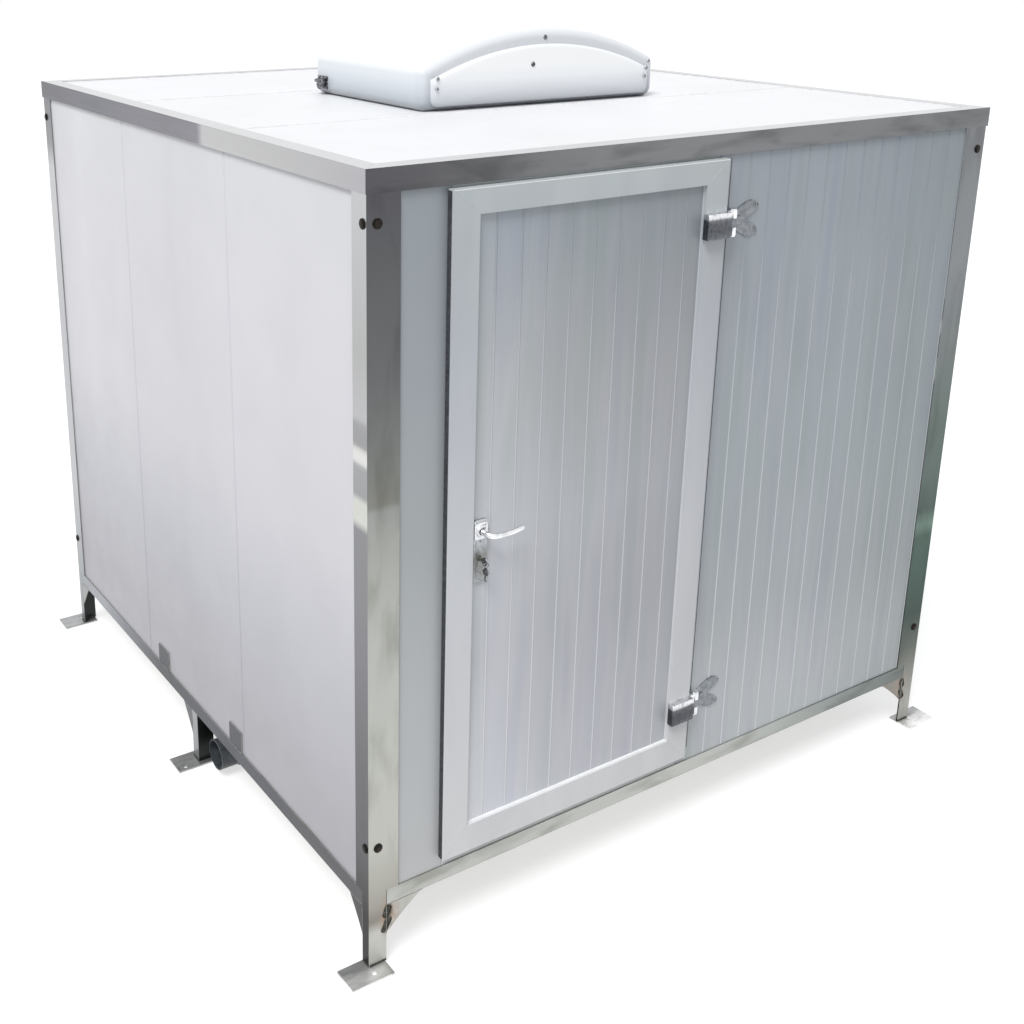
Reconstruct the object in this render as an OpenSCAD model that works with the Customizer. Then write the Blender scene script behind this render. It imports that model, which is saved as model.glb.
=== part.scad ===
// Sanitary container: a sandwich-panel cabin in a stainless angle frame on legs.
// Millimetres. X runs right along the front, Y runs back, Z is up.
// The origin is on the ground, under the middle of the cabin.

/* [Cabin] */
// Width over the roof rims
cabin_w = 2438; // [2300:1:3000]
// Depth over the roof rims
cabin_d = 2438; // [2300:1:3000]
// Height from the underside of the bottom rails to the top of the roof rims
cabin_h = 2140; // [2080:1:2400]
// Clear height under the bottom rails
leg_h = 200; // [170:1:400]
// Width of the middle panels of walls and roof, between two seams
panel_pitch = 812; // [700:1:1000]
// Thickness of wall panels
wall_t = 50; // [40:1:80]
// Thickness of roof panels
roof_t = 50; // [40:1:100]
// Thickness of the floor panel
floor_t = 40; // [20:1:60]
// Thickness of the floor covering
covering_t = 3; // [2:0.5:6]

/* [Steel frame] */
// Thickness of posts, rails and legs
frame_t = 5; // [3:0.5:8]
// Width of a post's flange on the front and the rear
post_face = 100; // [80:1:130]
// Width of a post's flange on the sides
post_side = 70; // [60:1:100]
// Width of a leg on the front and the rear
leg_face = 60; // [40:1:75]
// Width of a leg on the sides
leg_side = 35; // [25:1:55]
// Height of the bottom rails
rail_h = 50; // [45:1:80]
// Width of the rails' lower flange
rail_flange = 75; // [65:1:110]
// Thickness of the roof rims
rim_t = 4; // [3:0.5:6]
// Height and width of the roof rims
rim_h = 62; // [50:1:90]
// Height of the floor cross members
member_h = 40; // [30:1:60]
// Width of the floor cross members
member_w = 50; // [40:1:80]
// Wall of the floor cross members
member_t = 3; // [2:0.5:5]
// Length of a foot plate, across the cabin
foot_l = 140; // [120:1:200]
// Width of a foot plate
foot_w = 92; // [80:1:140]
// Thickness of a foot plate
foot_t = 6; // [5:0.5:12]
// How far a foot plate reaches past the post's side
foot_out = 85; // [60:1:110]
// How far a corner foot plate reaches past the post's face
foot_front = 55; // [40:1:65]
// Radius of an anchor hole
anchor_r = 7; // [5:0.5:10]
// Gusset length along the front and rear rails
gusset_face = 126; // [80:1:160]
// Gusset length along the side rails
gusset_side = 75; // [60:1:110]
// Gusset height
gusset_h = 104; // [70:1:130]
// Width of a clip plate on the side rails
clip_w = 94; // [60:1:120]
// Height of a clip plate above the rail
clip_h = 76; // [50:1:120]
// Slit between a leg and the end of a rail
rail_slit = 1.5; // [0.5:0.5:4]
// Distance between floor cross members
member_pitch = 450; // [300:1:600]
// Shank radius of a post bolt
bolt_r = 4; // [3:0.5:5]
// Radius of a post bolt's head
bolt_head_r = 11; // [8:0.5:13]
// Height of a post bolt's head
bolt_head_h = 5; // [3:0.5:8]

/* [Door] */
// Width of the door leaf
door_w = 966; // [850:1:1100]
// Left edge of the leaf, measured from the middle of the cabin
door_left = 975; // [950:1:990]
// Height of the leaf's lower edge above the rails' underside
door_lift = 87; // [80:1:110]
// Gap between the leaf and the roof rim above it
door_top_gap = 8; // [5:1:30]
// Width of the leaf's frame profile at the sides
stile_w = 85; // [70:1:110]
// Width of the leaf's frame profile at the top
top_profile_w = 70; // [60:1:110]
// Width of the leaf's frame profile at the bottom
bottom_profile_w = 90; // [60:1:130]
// Thickness of the part of the leaf that laps over the wall
lap_t = 22; // [18:0.5:30]
// Depth of the part of the leaf that enters the doorway
plug_t = 40; // [36:0.5:44]
// Thickness of the gasket
gasket_t = 5.7; // [4:0.1:8]
// Gap behind the gasket with the door shut
gasket_gap = 0.3; // [0.2:0.1:0.8]
// How far the infill lies behind the leaf's face
infill_recess = 12; // [6:1:16]
// Clearance between the leaf and the jamb all round
plug_gap = 8; // [8:0.5:12]
// Width of a jamb bar
jamb_w = 30; // [26:1:45]
// How far the leaf laps past the jamb's outer edge
lap_past = 15; // [8:1:20]
// Spacing of the fine ribs in the infill and the front panel
rib_pitch = 84; // [60:1:120]
// Width of a rib groove
rib_w = 6; // [3:0.5:10]
// Depth of a rib groove
rib_depth = 1.2; // [0.5:0.1:2]

/* [Hinges and lock] */
// Distance of the hinge pins from the leaf's edge
pin_out = 30; // [24:1:40]
// Radius of a hinge pin
pin_r = 5; // [4:0.5:6]
// Radius of a hinge knuckle
knuckle_r = 14; // [11:0.5:16]
// Height of a hinge
hinge_h = 77; // [60:1:100]
// Length of the hinge block on the leaf
hinge_block_l = 92; // [70:1:110]
// Thickness of the hinge block on the leaf
hinge_block_t = 24; // [18:1:30]
// Centre of the upper hinge below the leaf's top
hinge_top_drop = 190; // [120:1:400]
// Centre of the lower hinge above the leaf's bottom
hinge_bottom_rise = 195; // [120:1:400]
// Height of the fork at the end of a wall leaf
fork_h = 110; // [90:1:130]
// Radial clearance of pins, spindle and plug
running = 0.05; // [0.02:0.01:0.1]
// Height of the lever above the leaf's bottom
lever_rise = 1028; // [900:1:1150]
// Distance from lever to lock cylinder
lock_centres = 85; // [72:1:92]
// Gap between the stile and the handle plate
plate_edge = 4; // [1:1:15]
// Length of a handle plate
plate_l = 190; // [175:1:240]
// Width of a handle plate
plate_w = 46; // [36:1:50]
// Thickness of a handle plate
plate_t = 8; // [5:0.5:10]
// Length of the lever from its pivot
lever_l = 122; // [100:1:140]
// Radius of the lever's bar
lever_r = 8; // [6:0.5:10]
// Distance of the lever from the plate
lever_out = 44; // [36:1:60]
// Side of the square spindle
spindle_s = 8; // [7:0.5:9]
// How far the spring latch stands out
latch_throw = 6.5; // [4:0.5:6.5]
// How far the key throws the dead bolt
bolt_throw = 20; // [15:1:24]

/* [Roof hood and fan] */
// Width of the hood at its sides
hood_w = 1000; // [850:1:1150]
// Depth of the hood from front to rear
hood_d = 700; // [640:1:800]
// Height of the hood's top
hood_h = 250; // [220:1:320]
// Height of the hood's eaves
eaves_h = 133; // [100:1:170]
// Edge radius of the hood
hood_round = 32; // [20:1:40]
// Wall of the hood
hood_t = 5; // [3:0.5:8]
// Centre of the hood to the right of the middle
hood_x = 12; // [-60:1:60]
// Thickness of the hood's front panel
face_t = 20; // [12:1:30]
// Height of the hood above the arch of its front panel
face_drop = 50; // [35:1:70]
// Side of the square roof opening
vent_s = 420; // [360:1:460]
// Wall of the roof curb
curb_t = 40; // [30:1:60]
// Height of the roof curb above the roof
curb_h = 50; // [40:1:80]
// Gap between the fan's blades and the opening
tip_gap = 20; // [8:1:40]
// Radius of the fan motor
motor_r = 55; // [40:1:70]
// Length of the fan motor
motor_l = 62; // [50:1:70]
// Number of fan blades
blades = 5; // [3:1:7]

/* [Sanitary ware] */
// Middle of the pan to the left of the cabin's middle
pan_left = 650; // [500:1:800]
// Height of the pan's rim above the floor
pan_h = 400; // [380:1:460]
// Radius of the pan at its rim
pan_r = 180; // [160:1:200]
// Length of the pan between its front and rear arcs
pan_stretch = 70; // [40:1:100]
// Angle of the open lid from shut
lid_open = 96; // [91:1:96]
// Middle of the basin to the right of the cabin's middle
basin_right = 480; // [400:1:700]
// Height of the basin's rim above the floor
basin_top = 850; // [780:1:900]
// Width of the basin
basin_w = 500; // [420:1:600]
// Depth of the basin from the wall
basin_d = 400; // [340:1:480]
// Outer radius of the waste pipe
pipe_r = 55; // [50:1:63]
// Wall of the waste pipe
pipe_t = 3.2; // [2.5:0.1:5]
// Height of the waste pipe's axis above the ground
pipe_z = 78; // [66:1:95]
// Place of the outlet in front of the cabin's middle
outlet_y = 118; // [90:1:200]

/* [Hidden] */
$fn = 64;

// Planes of the frame and the walls: rims outside, posts inside them, wall panels inside the posts
rim_x = cabin_w / 2;
rim_y = cabin_d / 2;
post_x = rim_x - rim_t;
post_y = rim_y - rim_t;
wall_x = post_x - frame_t;
wall_y = post_y - frame_t;
room_x = wall_x - wall_t;
room_y = wall_y - wall_t;
rail_top = leg_h + rail_h;
seat_z = leg_h + frame_t;
top_z = leg_h + cabin_h;
roof_top = top_z - rim_t;
roof_under = roof_top - roof_t;
floor_under = seat_z + member_h;
floor_top = floor_under + floor_t;
floor_z = floor_top + covering_t;
seam = panel_pitch / 2;
seam_bevel = 2;

// Feet and bolts
foot_y = [-post_y - foot_front, -foot_w / 2, post_y + foot_front - foot_w];
anchor_x = post_x - 2;
anchor_y = post_y + 27;
mid_leg_side = 45;
mid_leg_front = 25;
// Oval recesses over the weld: place beside the leg's edge and below the rail, radius, half length and tilt
gusset_ovals = [[2, 24, 13, 9, 20], [0, 70, 12, 15, 28]];
oval_depth = 2.5;
bolt_z = [rail_top + 155, top_z - 137];
bolt_face_in = 32;
bolt_side_in = 17;
bolt_l = 18;
washer_r = bolt_head_r + 3;
washer_t = 2;
bolt_hole_r = bolt_r + 0.3;
clip_y = [268, -347];

// Door leaf and doorway
leaf_x0 = -door_left;
leaf_x1 = leaf_x0 + door_w;
leaf_z0 = leg_h + door_lift;
leaf_z1 = top_z - rim_h - door_top_gap;
way_x0 = leaf_x0 + lap_past;
way_x1 = leaf_x1 - lap_past;
clear_x0 = way_x0 + jamb_w;
clear_x1 = way_x1 - jamb_w;
clear_z0 = leaf_z0 + 20;
clear_z1 = leaf_z1 - lap_past - jamb_w;
lap_back = -wall_y - gasket_gap - gasket_t;
leaf_face = lap_back - lap_t;
plug_back = lap_back + plug_t;
infill_face = leaf_face + infill_recess;
plug_x0 = clear_x0 + plug_gap;
plug_x1 = clear_x1 - plug_gap;
plug_z0 = clear_z0 + plug_gap;
plug_z1 = clear_z1 - plug_gap;
infill_x0 = leaf_x0 + stile_w;
infill_x1 = leaf_x1 - stile_w;
infill_z0 = leaf_z0 + bottom_profile_w;
infill_z1 = leaf_z1 - top_profile_w;

// Hinges
pin_x = leaf_x1 + pin_out;
pin_y = leaf_face + 6;
hinge_z = [leaf_z1 - hinge_top_drop, leaf_z0 + hinge_bottom_rise];
knuckle_gap = 0.3;
middle_knuckle_h = hinge_h / 3;
cap_h = 4;
fork_reach = 130;
fork_t = 5;
fork_screw_r = 3;

// Lock
lever_x = infill_x0 + plate_edge + plate_w / 2;
lever_z = leaf_z0 + lever_rise;
key_z = lever_z - lock_centres;
plate_z1 = lever_z + 34;
plate_z0 = plate_z1 - plate_l;
lock_y = (lap_back + plug_back) / 2;
lock_t = 16;
lock_x1 = lever_x + 32;
lock_z0 = key_z - 30;
lock_z1 = lever_z + 62;
forend_t = 3;
forend_w = 22;
forend_z0 = lock_z0 - 22;
forend_z1 = lock_z1 + 22;
lever_tilt = 4;
latch_z = lever_z + 36;
latch_s = [44, 11, 24];
dead_z = key_z + 34;
dead_s = [54, 11, 30];
slot_gap = 0.4;
keeper_gap = 1.5;
hub_r = lever_r + 1;
socket_l = 24;
barrel_r = 8.5;
plug_r = 6.5;
bow_r = 12;
key_t = 2.4;
eye_r = 2.6;
eye_up = 7;
key_ring_r = 9;
wire_r = 1.2;
cylinder_y = infill_face - plate_t - 4;
lever_y = infill_face - plate_t - lever_out;
inner_lever_y = plug_back + plate_t + lever_out;

// Roof hood: its side outline is an arch over upright sides
arch_r = (pow(hood_w / 2, 2) + pow(hood_h - eaves_h, 2)) / (2 * (hood_h - eaves_h));
hood_front = -hood_d / 2;
hood_z = roof_top;
face_w = hood_w - 2 * hood_round - 6;
face_h = hood_h - face_drop;
face_eaves = eaves_h - hood_round;
catch_y = hood_d / 2 - 65;
screw_r = 5;

// Fan
fan_r = vent_s / 2 - tip_gap;
shaft_r = 6;
fan_hub_r = 40;
fan_hub_h = 24;
fan_z = hood_z + curb_h - motor_l - fan_hub_h - 2;
bracket_t = 5;

// Sanitary ware
pan_x = -pan_left;
cistern_d = 160;
cistern_w = 380;
cistern_h = 350;
cistern_top_t = 14;
flush_r = 20;
rim_z = floor_z + pan_h;
hinge_y = room_y - cistern_d - 78;
seat_t = 20;
lid_t = 14;
ring_w = 62;
seat_back = 30;
bowl_y = hinge_y - seat_back - pan_stretch - pan_r;
wc_pin_r = 6;
wc_pin_z = rim_z + 13;
outlet_pan_y = room_y - 120;
basin_x = basin_right;
basin_z = floor_z + basin_top;
trap_r = 18;
outlet_x = -post_x + 26;
sleeve_x = outlet_x + 80;
sleeve_l = 50;
member_y = [for (y = outlet_pan_y - 140; y > -room_y + 60; y = y - member_pitch) y];
light_x = -608;
light_r = 140;
light_h = 55;

module span(lo, hi) {
    translate(lo) cube(hi - lo);
}

module at_corner(right, rear) {
    mirror([right, 0, 0]) mirror([0, rear, 0]) children();
}

module all_corners() {
    for (right = [0, 1], rear = [0, 1]) at_corner(right, rear) children();
}

module along_y(r, y0, y1) {
    translate([0, y0, 0]) rotate([-90, 0, 0]) cylinder(r = r, h = y1 - y0);
}

module along_x(r, x0, x1) {
    translate([x0, 0, 0]) rotate([0, 90, 0]) cylinder(r = r, h = x1 - x0);
}

// A closed frame of rectangular outline in the XZ plane, between two depths
module upright_ring(lo, hi, in_lo, in_hi) {
    difference() {
        span(lo, hi);
        span([in_lo[0], lo[1] - 1, in_lo[1]], [in_hi[0], hi[1] + 1, in_hi[1]]);
    }
}

// The four bolt places of the front left post, on its face and its side
module at_post_bolts() {
    for (z = bolt_z) {
        translate([-post_x + bolt_face_in, -post_y, z]) rotate([-90, 0, 0]) children();
        translate([-post_x, -post_y + bolt_side_in, z]) rotate([0, 90, 0]) children();
    }
}

module bolt_clearance() {
    at_post_bolts() translate([0, 0, -1]) cylinder(r = bolt_hole_r, h = frame_t + bolt_l + 2);
}

// Oval recesses over the weld between a gusset and its leg, about the leg's edge at X = 0
module weld_ovals() {
    for (o = gusset_ovals) translate([o[0], 0, leg_h - o[1]]) rotate([0, o[4], 0]) {
        for (dz = [-o[3], o[3]]) translate([0, 0, dz]) along_y(o[2], -post_y - 1, -post_y + oval_depth);
        span([-o[2], -post_y - 1, -o[3]], [o[2], -post_y + oval_depth, o[3]]);
    }
}

// A post whose two flanges narrow to a leg below the rails
module post() {
    color("#8f9296") difference() {
        union() {
            span([-post_x, -post_y, rail_top], [-post_x + post_face, -post_y + frame_t, roof_top]);
            span([-post_x, -post_y, rail_top], [-post_x + frame_t, -post_y + post_side, roof_top]);
            span([-post_x, -post_y, foot_t], [-post_x + leg_face, -post_y + frame_t, rail_top]);
            span([-post_x, -post_y, foot_t], [-post_x + frame_t, -post_y + leg_side, rail_top]);
        }
        bolt_clearance();
        translate([-post_x + leg_face, 0, 0]) weld_ovals();
    }
}

module corner_post_front_left() post();
module corner_post_front_right() at_corner(1, 0) post();
module corner_post_rear_left() at_corner(0, 1) post();
module corner_post_rear_right() at_corner(1, 1) post();

module mid_legs() {
    color("#7c7f82") for (right = [0, 1]) mirror([right, 0, 0]) {
        span([-post_x, -mid_leg_front, foot_t], [-post_x + frame_t, mid_leg_side - mid_leg_front, leg_h]);
        span([-post_x, -mid_leg_front, foot_t], [-post_x + leg_face, frame_t - mid_leg_front, leg_h]);
    }
}

module foot_plates() {
    color("#a9abad") for (right = [0, 1]) mirror([right, 0, 0]) for (i = [0:2]) {
        hole_y = i == 0 ? -anchor_y : i == 2 ? anchor_y : foot_y[1] + 18;
        hole_x = i == 1 ? -post_x - foot_out + 30 : -anchor_x;
        difference() {
            translate([-post_x - foot_out, foot_y[i], 0]) cube([foot_l, foot_w, foot_t]);
            translate([hole_x, hole_y, -1]) cylinder(r = anchor_r, h = foot_t + 2);
        }
    }
}

// A right-angled plate with a hollow long edge, its corner at the origin, in the XZ plane
module gusset_plate(l, h) {
    r = 900;
    bow = 0.06 * l;
    mid = [l / 2, -h / 2];
    normal = [h, -l] / norm([h, l]);
    rotate([90, 0, 0]) translate([0, 0, -frame_t]) linear_extrude(frame_t) difference() {
        polygon([[0, 0], [l, 0], [0, -h]]);
        translate(mid + normal * (r - bow)) circle(r = r, $fn = 256);
    }
}

module gussets() {
    color("#8a8b8c") {
        all_corners() {
            difference() {
                translate([-post_x + leg_face, -post_y, leg_h]) gusset_plate(gusset_face, gusset_h);
                translate([-post_x + leg_face, 0, 0]) weld_ovals();
            }
            translate([-post_x, -post_y + leg_side, leg_h]) rotate([0, 0, 90]) mirror([0, 1, 0])
                gusset_plate(gusset_side, gusset_h);
        }
        for (right = [0, 1]) mirror([right, 0, 0])
            translate([-post_x, mid_leg_side - mid_leg_front, leg_h]) rotate([0, 0, 90]) mirror([0, 1, 0])
                gusset_plate(gusset_side, gusset_h);
    }
}

module front_rail() {
    x0 = -post_x + leg_face + rail_slit;
    x1 = -post_x + rail_flange;
    span([x0, -post_y, leg_h], [-x0, -post_y + frame_t, rail_top]);
    span([x1, -post_y, leg_h], [-x1, -post_y + rail_flange, seat_z]);
}

module side_rail() {
    y0 = -post_y + leg_side + rail_slit;
    span([-post_x, y0, leg_h], [-post_x + frame_t, -y0, rail_top]);
    span([-post_x, y0, leg_h], [-post_x + rail_flange, -y0, seat_z]);
}

module bottom_rails() {
    color("#9c9ea1") {
        for (rear = [0, 1]) mirror([0, rear, 0]) front_rail();
        for (right = [0, 1]) mirror([right, 0, 0]) side_rail();
    }
}

module cross_members() {
    color("#8d9194") for (y = member_y) translate([0, y, 0]) difference() {
        span([-room_x, -member_w / 2, seat_z], [room_x, member_w / 2, floor_under]);
        span([-room_x - 1, member_t - member_w / 2, seat_z + member_t],
            [room_x + 1, member_w / 2 - member_t, floor_under - member_t]);
    }
}

// One roof rim: an angle with mitred ends, half its length along X and half the span across
module roof_rim(half_l, half_span) {
    intersection() {
        union() {
            span([-half_l, -half_span, top_z - rim_h], [half_l, -half_span + rim_t, top_z]);
            span([-half_l, -half_span, roof_top], [half_l, -half_span + rim_h, top_z]);
        }
        translate([0, 0, top_z - rim_h]) linear_extrude(rim_h)
            polygon([[-half_l, -half_span], [half_l, -half_span],
                [half_l - rim_h, -half_span + rim_h], [-half_l + rim_h, -half_span + rim_h]]);
    }
}

module roof_rims() {
    color("#8b8d92") {
        for (rear = [0, 1]) mirror([0, rear, 0]) roof_rim(rim_x, rim_y);
        for (a = [90, -90]) rotate([0, 0, a]) roof_rim(rim_y, rim_x);
    }
}

module post_bolts() {
    color("#3c3c3e") all_corners() at_post_bolts() {
        translate([0, 0, -bolt_head_h]) cylinder(r = bolt_head_r, h = bolt_head_h, $fn = 6);
        translate([0, 0, -washer_t]) cylinder(r = washer_r, h = washer_t);
        cylinder(r = bolt_r, h = frame_t + bolt_l);
    }
}

module rail_clips() {
    color("#82868b") for (right = [0, 1], y = clip_y) mirror([right, 0, 0])
        span([-post_x, y - clip_w / 2, rail_top], [-wall_x, y + clip_w / 2, rail_top + clip_h]);
}

// A panel of length along X and height along Z, its outer face at Y = 0, with bevelled long edges
module slab(l, t, h) {
    b = seam_bevel;
    linear_extrude(h)
        polygon([[b, 0], [l - b, 0], [l, b], [l, t - b], [l - b, t], [b, t], [0, t - b], [0, b]]);
}

module side_wall() {
    for (run = [[-wall_y, -seam], [-seam, seam], [seam, wall_y]])
        translate([-wall_x, run[0], seat_z]) rotate([0, 0, 90]) mirror([0, 1, 0])
            slab(run[1] - run[0], wall_t, roof_under - seat_z);
}

module left_wall_panels() {
    color("#e4e5ea") difference() {
        side_wall();
        for (rear = [0, 1]) at_corner(0, rear) bolt_clearance();
    }
}

module right_wall_panels() mirror([1, 0, 0]) left_wall_panels();

module rear_wall_panels() {
    color("#e4e5ea") for (run = [[-room_x, -seam], [-seam, seam], [seam, room_x]])
        translate([run[0], wall_y - wall_t, seat_z]) slab(run[1] - run[0], wall_t, roof_under - seat_z);
}

// Fine upright grooves in a front face at depth y, between two sides and two heights
module rib_grooves(x0, x1, z0, z1, y) {
    n = floor((x1 - x0 - rib_pitch / 2) / rib_pitch);
    start = (x0 + x1 - n * rib_pitch) / 2;
    for (i = [0:n]) let (x = start + i * rib_pitch)
        span([x - rib_w / 2, y - 1, z0], [x + rib_w / 2, y + rib_depth, z1]);
}

module front_strip_panel() {
    color("#c3c8cd") translate([-room_x, -wall_y, seat_z])
        slab(way_x0 + room_x, wall_t, roof_under - seat_z);
}

module front_ribbed_panel() {
    color("#c3c8cd") difference() {
        translate([way_x1, -wall_y, seat_z]) slab(room_x - way_x1, wall_t, roof_under - seat_z);
        rib_grooves(way_x1, room_x, seat_z - 1, roof_under + 1, -wall_y);
        fork_screw_holes();
    }
}

module floor_panel() {
    color("#b9b29c") difference() {
        span([-room_x, -room_y, floor_under], [room_x, room_y, floor_top]);
        translate([pan_x, outlet_pan_y, floor_under - 1]) cylinder(r = pipe_r + 6, h = floor_t + 2);
    }
}

module floor_covering() {
    color("#7f8a90") difference() {
        span([-room_x, -room_y, floor_top], [room_x, room_y, floor_z]);
        translate([pan_x, outlet_pan_y, floor_top - 1]) cylinder(r = pipe_r + 6, h = covering_t + 2);
    }
}

module roof_panels() {
    color("#f4f4f4") difference() {
        for (run = [[-wall_y, -seam], [-seam, seam], [seam, wall_y]])
            translate([-wall_x, run[0], roof_under]) rotate([90, 0, 90])
                slab(run[1] - run[0], roof_t, 2 * wall_x);
        translate([hood_x, 0, 0])
            span([-vent_s / 2, -vent_s / 2, roof_under - 1], [vent_s / 2, vent_s / 2, roof_top + 1]);
    }
}

module door_jamb() {
    color("#aeb3b8") difference() {
        upright_ring([way_x0, -wall_y, seat_z], [way_x1, -room_y, roof_under],
            [clear_x0, clear_z0], [clear_x1, clear_z1]);
        keeper_pockets(bolt_throw - plug_gap + 4);
        span([clear_x0 - 3, lock_y - 14, dead_z - 40], [clear_x0 + 1, lock_y + 14, latch_z + 40]);
    }
}

// Pockets for latch and dead bolt, to a depth behind the jamb's side
module keeper_pockets(depth) {
    for (p = [[latch_z, latch_s], [dead_z, dead_s]])
        span([clear_x0 - depth, lock_y - p[1][1] / 2 - keeper_gap, p[0] - p[1][2] / 2 - keeper_gap],
            [clear_x0 + 1, lock_y + p[1][1] / 2 + keeper_gap, p[0] + p[1][2] / 2 + keeper_gap]);
}

module strike_plate() {
    color("#b8babd") difference() {
        span([clear_x0 - 3, lock_y - 14, dead_z - 40], [clear_x0, lock_y + 14, latch_z + 40]);
        keeper_pockets(4);
    }
}

module fork_screw_holes() {
    for (z = hinge_z, side = [-1, 1])
        translate([pin_x + fork_reach - 12, 0, z + side * (fork_h / 2 - 14)])
            along_y(fork_screw_r + 0.3, -wall_y - 1, -wall_y + 18);
}

// Wall leaf: middle knuckle on an arm, and a plate forked into two prongs with a screw in each
module hinge_wall_leaf() {
    arm_h = middle_knuckle_h - 2 * knuckle_gap;
    difference() {
        union() {
            translate([pin_x, pin_y, -arm_h / 2]) cylinder(r = knuckle_r, h = arm_h);
            span([pin_x, -wall_y - 12, -arm_h / 2], [pin_x + 50, -wall_y, arm_h / 2]);
            span([pin_x, pin_y, -arm_h / 2], [pin_x + knuckle_r, -wall_y - 11, arm_h / 2]);
            translate([0, -wall_y, 0]) rotate([90, 0, 0]) linear_extrude(fork_t)
                polygon([[pin_x + 30, -hinge_h / 2 + 8], [pin_x + fork_reach - 26, -fork_h / 2],
                    [pin_x + fork_reach, -fork_h / 2 + 16], [pin_x + 62, 0],
                    [pin_x + fork_reach, fork_h / 2 - 16], [pin_x + fork_reach - 26, fork_h / 2],
                    [pin_x + 30, hinge_h / 2 - 8]]);
        }
        translate([pin_x, pin_y, -hinge_h]) cylinder(r = pin_r + running, h = 2 * hinge_h);
    }
}

module hinge_wall_leaves() {
    color("#c9ccd0") {
        for (z = hinge_z) translate([0, 0, z]) hinge_wall_leaf();
        for (z = hinge_z, side = [-1, 1])
            translate([pin_x + fork_reach - 12, 0, z + side * (fork_h / 2 - 14)]) {
                along_y(fork_screw_r + 4, -wall_y - fork_t - 3, -wall_y - fork_t);
                along_y(fork_screw_r, -wall_y, -wall_y + 16);
            }
    }
}

module lock_hollow() {
    span([plug_x0 - 1, lock_y - forend_w / 2, forend_z0],
        [plug_x0 + forend_t, lock_y + forend_w / 2, forend_z1]);
    span([plug_x0, lock_y - lock_t / 2, lock_z0], [lock_x1, lock_y + lock_t / 2, lock_z1]);
}

module door_frame_profile() {
    color("#d3d8dc") difference() {
        union() {
            upright_ring([leaf_x0, leaf_face, leaf_z0], [leaf_x1, lap_back, leaf_z1],
                [infill_x0, infill_z0], [infill_x1, infill_z1]);
            upright_ring([plug_x0, lap_back, plug_z0], [plug_x1, plug_back, plug_z1],
                [infill_x0, infill_z0], [infill_x1, infill_z1]);
        }
        lock_hollow();
    }
}

module door_infill() {
    color("#b9bfc5") difference() {
        span([infill_x0, infill_face, infill_z0], [infill_x1, plug_back, infill_z1]);
        rib_grooves(infill_x0, infill_x1, infill_z0 - 1, infill_z1 + 1, infill_face);
        lock_hollow();
        translate([lever_x, 0, lever_z]) along_y(hub_r + 1, infill_face - 1, plug_back + 1);
        translate([lever_x, 0, key_z]) along_y(barrel_r + 1, infill_face - 1, plug_back + 1);
    }
}

module door_gasket() {
    color("#2b2c2e") upright_ring([leaf_x0 + 6, lap_back, leaf_z0 + 6],
        [leaf_x1 - 6, lap_back + gasket_t, leaf_z1 - 6],
        [plug_x0 - 4, plug_z0 - 4], [plug_x1 + 4, plug_z1 + 4]);
}

// Leaf side of a hinge: a block on the leaf with a knuckle above and below the middle one
module hinge_door_leaf() {
    end_h = (hinge_h - middle_knuckle_h) / 2;
    difference() {
        union() {
            span([leaf_x1 - hinge_block_l, leaf_face - hinge_block_t, -hinge_h / 2],
                [leaf_x1 + 2, leaf_face, hinge_h / 2]);
            for (z = [-hinge_h / 2, hinge_h / 2 - end_h]) translate([0, 0, z]) {
                translate([pin_x, pin_y, 0]) cylinder(r = knuckle_r, h = end_h);
                span([leaf_x1, pin_y - 12, 0], [pin_x, pin_y + 4, end_h]);
            }
        }
        translate([pin_x, pin_y, -hinge_h]) cylinder(r = pin_r, h = 2 * hinge_h);
    }
}

module hinge_door_leaves() {
    color("#d4d7da") for (z = hinge_z) translate([0, 0, z]) hinge_door_leaf();
}

module hinge_pins() {
    color("#c2c5c8") for (z = hinge_z) translate([pin_x, pin_y, z]) {
        translate([0, 0, -hinge_h / 2]) cylinder(r = pin_r, h = hinge_h);
        for (end = [0, 1]) mirror([0, 0, end]) translate([0, 0, hinge_h / 2])
            cylinder(r = knuckle_r - 1, h = cap_h);
    }
}

module handle_plate() {
    difference() {
        span([lever_x - plate_w / 2, 0, plate_z0], [lever_x + plate_w / 2, plate_t, plate_z1]);
        translate([lever_x, 0, lever_z]) along_y(hub_r + running, -1, plate_t + 1);
        translate([lever_x, 0, key_z]) along_y(barrel_r + running, -1, plate_t + 1);
    }
}

module handle_plates() {
    color("#cfd2d5") {
        translate([0, infill_face - plate_t, 0]) handle_plate();
        translate([0, plug_back, 0]) handle_plate();
    }
}

module lock_case() {
    color("#9fa2a6") difference() {
        union() {
            span([plug_x0, lock_y - forend_w / 2, forend_z0],
                [plug_x0 + forend_t, lock_y + forend_w / 2, forend_z1]);
            span([plug_x0, lock_y - lock_t / 2, lock_z0], [lock_x1, lock_y + lock_t / 2, lock_z1]);
        }
        for (b = [[latch_z, latch_s], [dead_z, dead_s]])
            span([plug_x0 - 1, lock_y - b[1][1] / 2 - slot_gap, b[0] - b[1][2] / 2 - slot_gap],
                [plug_x0 + b[1][0] + 14, lock_y + b[1][1] / 2 + slot_gap, b[0] + b[1][2] / 2 + slot_gap]);
        translate([lever_x, 0, lever_z]) along_y(hub_r + running, lock_y - lock_t, lock_y + lock_t);
        translate([lever_x, 0, key_z]) along_y(barrel_r, lock_y - lock_t, lock_y + lock_t);
    }
}

// Cylinder body: a tube through the leaf, bored for the plug that the key turns
module lock_cylinder() {
    color("#b9a77a") translate([lever_x, 0, key_z]) difference() {
        along_y(barrel_r, cylinder_y, plug_back + plate_t + 2);
        along_y(plug_r + running, cylinder_y - 1, plug_back - 8);
    }
}

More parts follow.
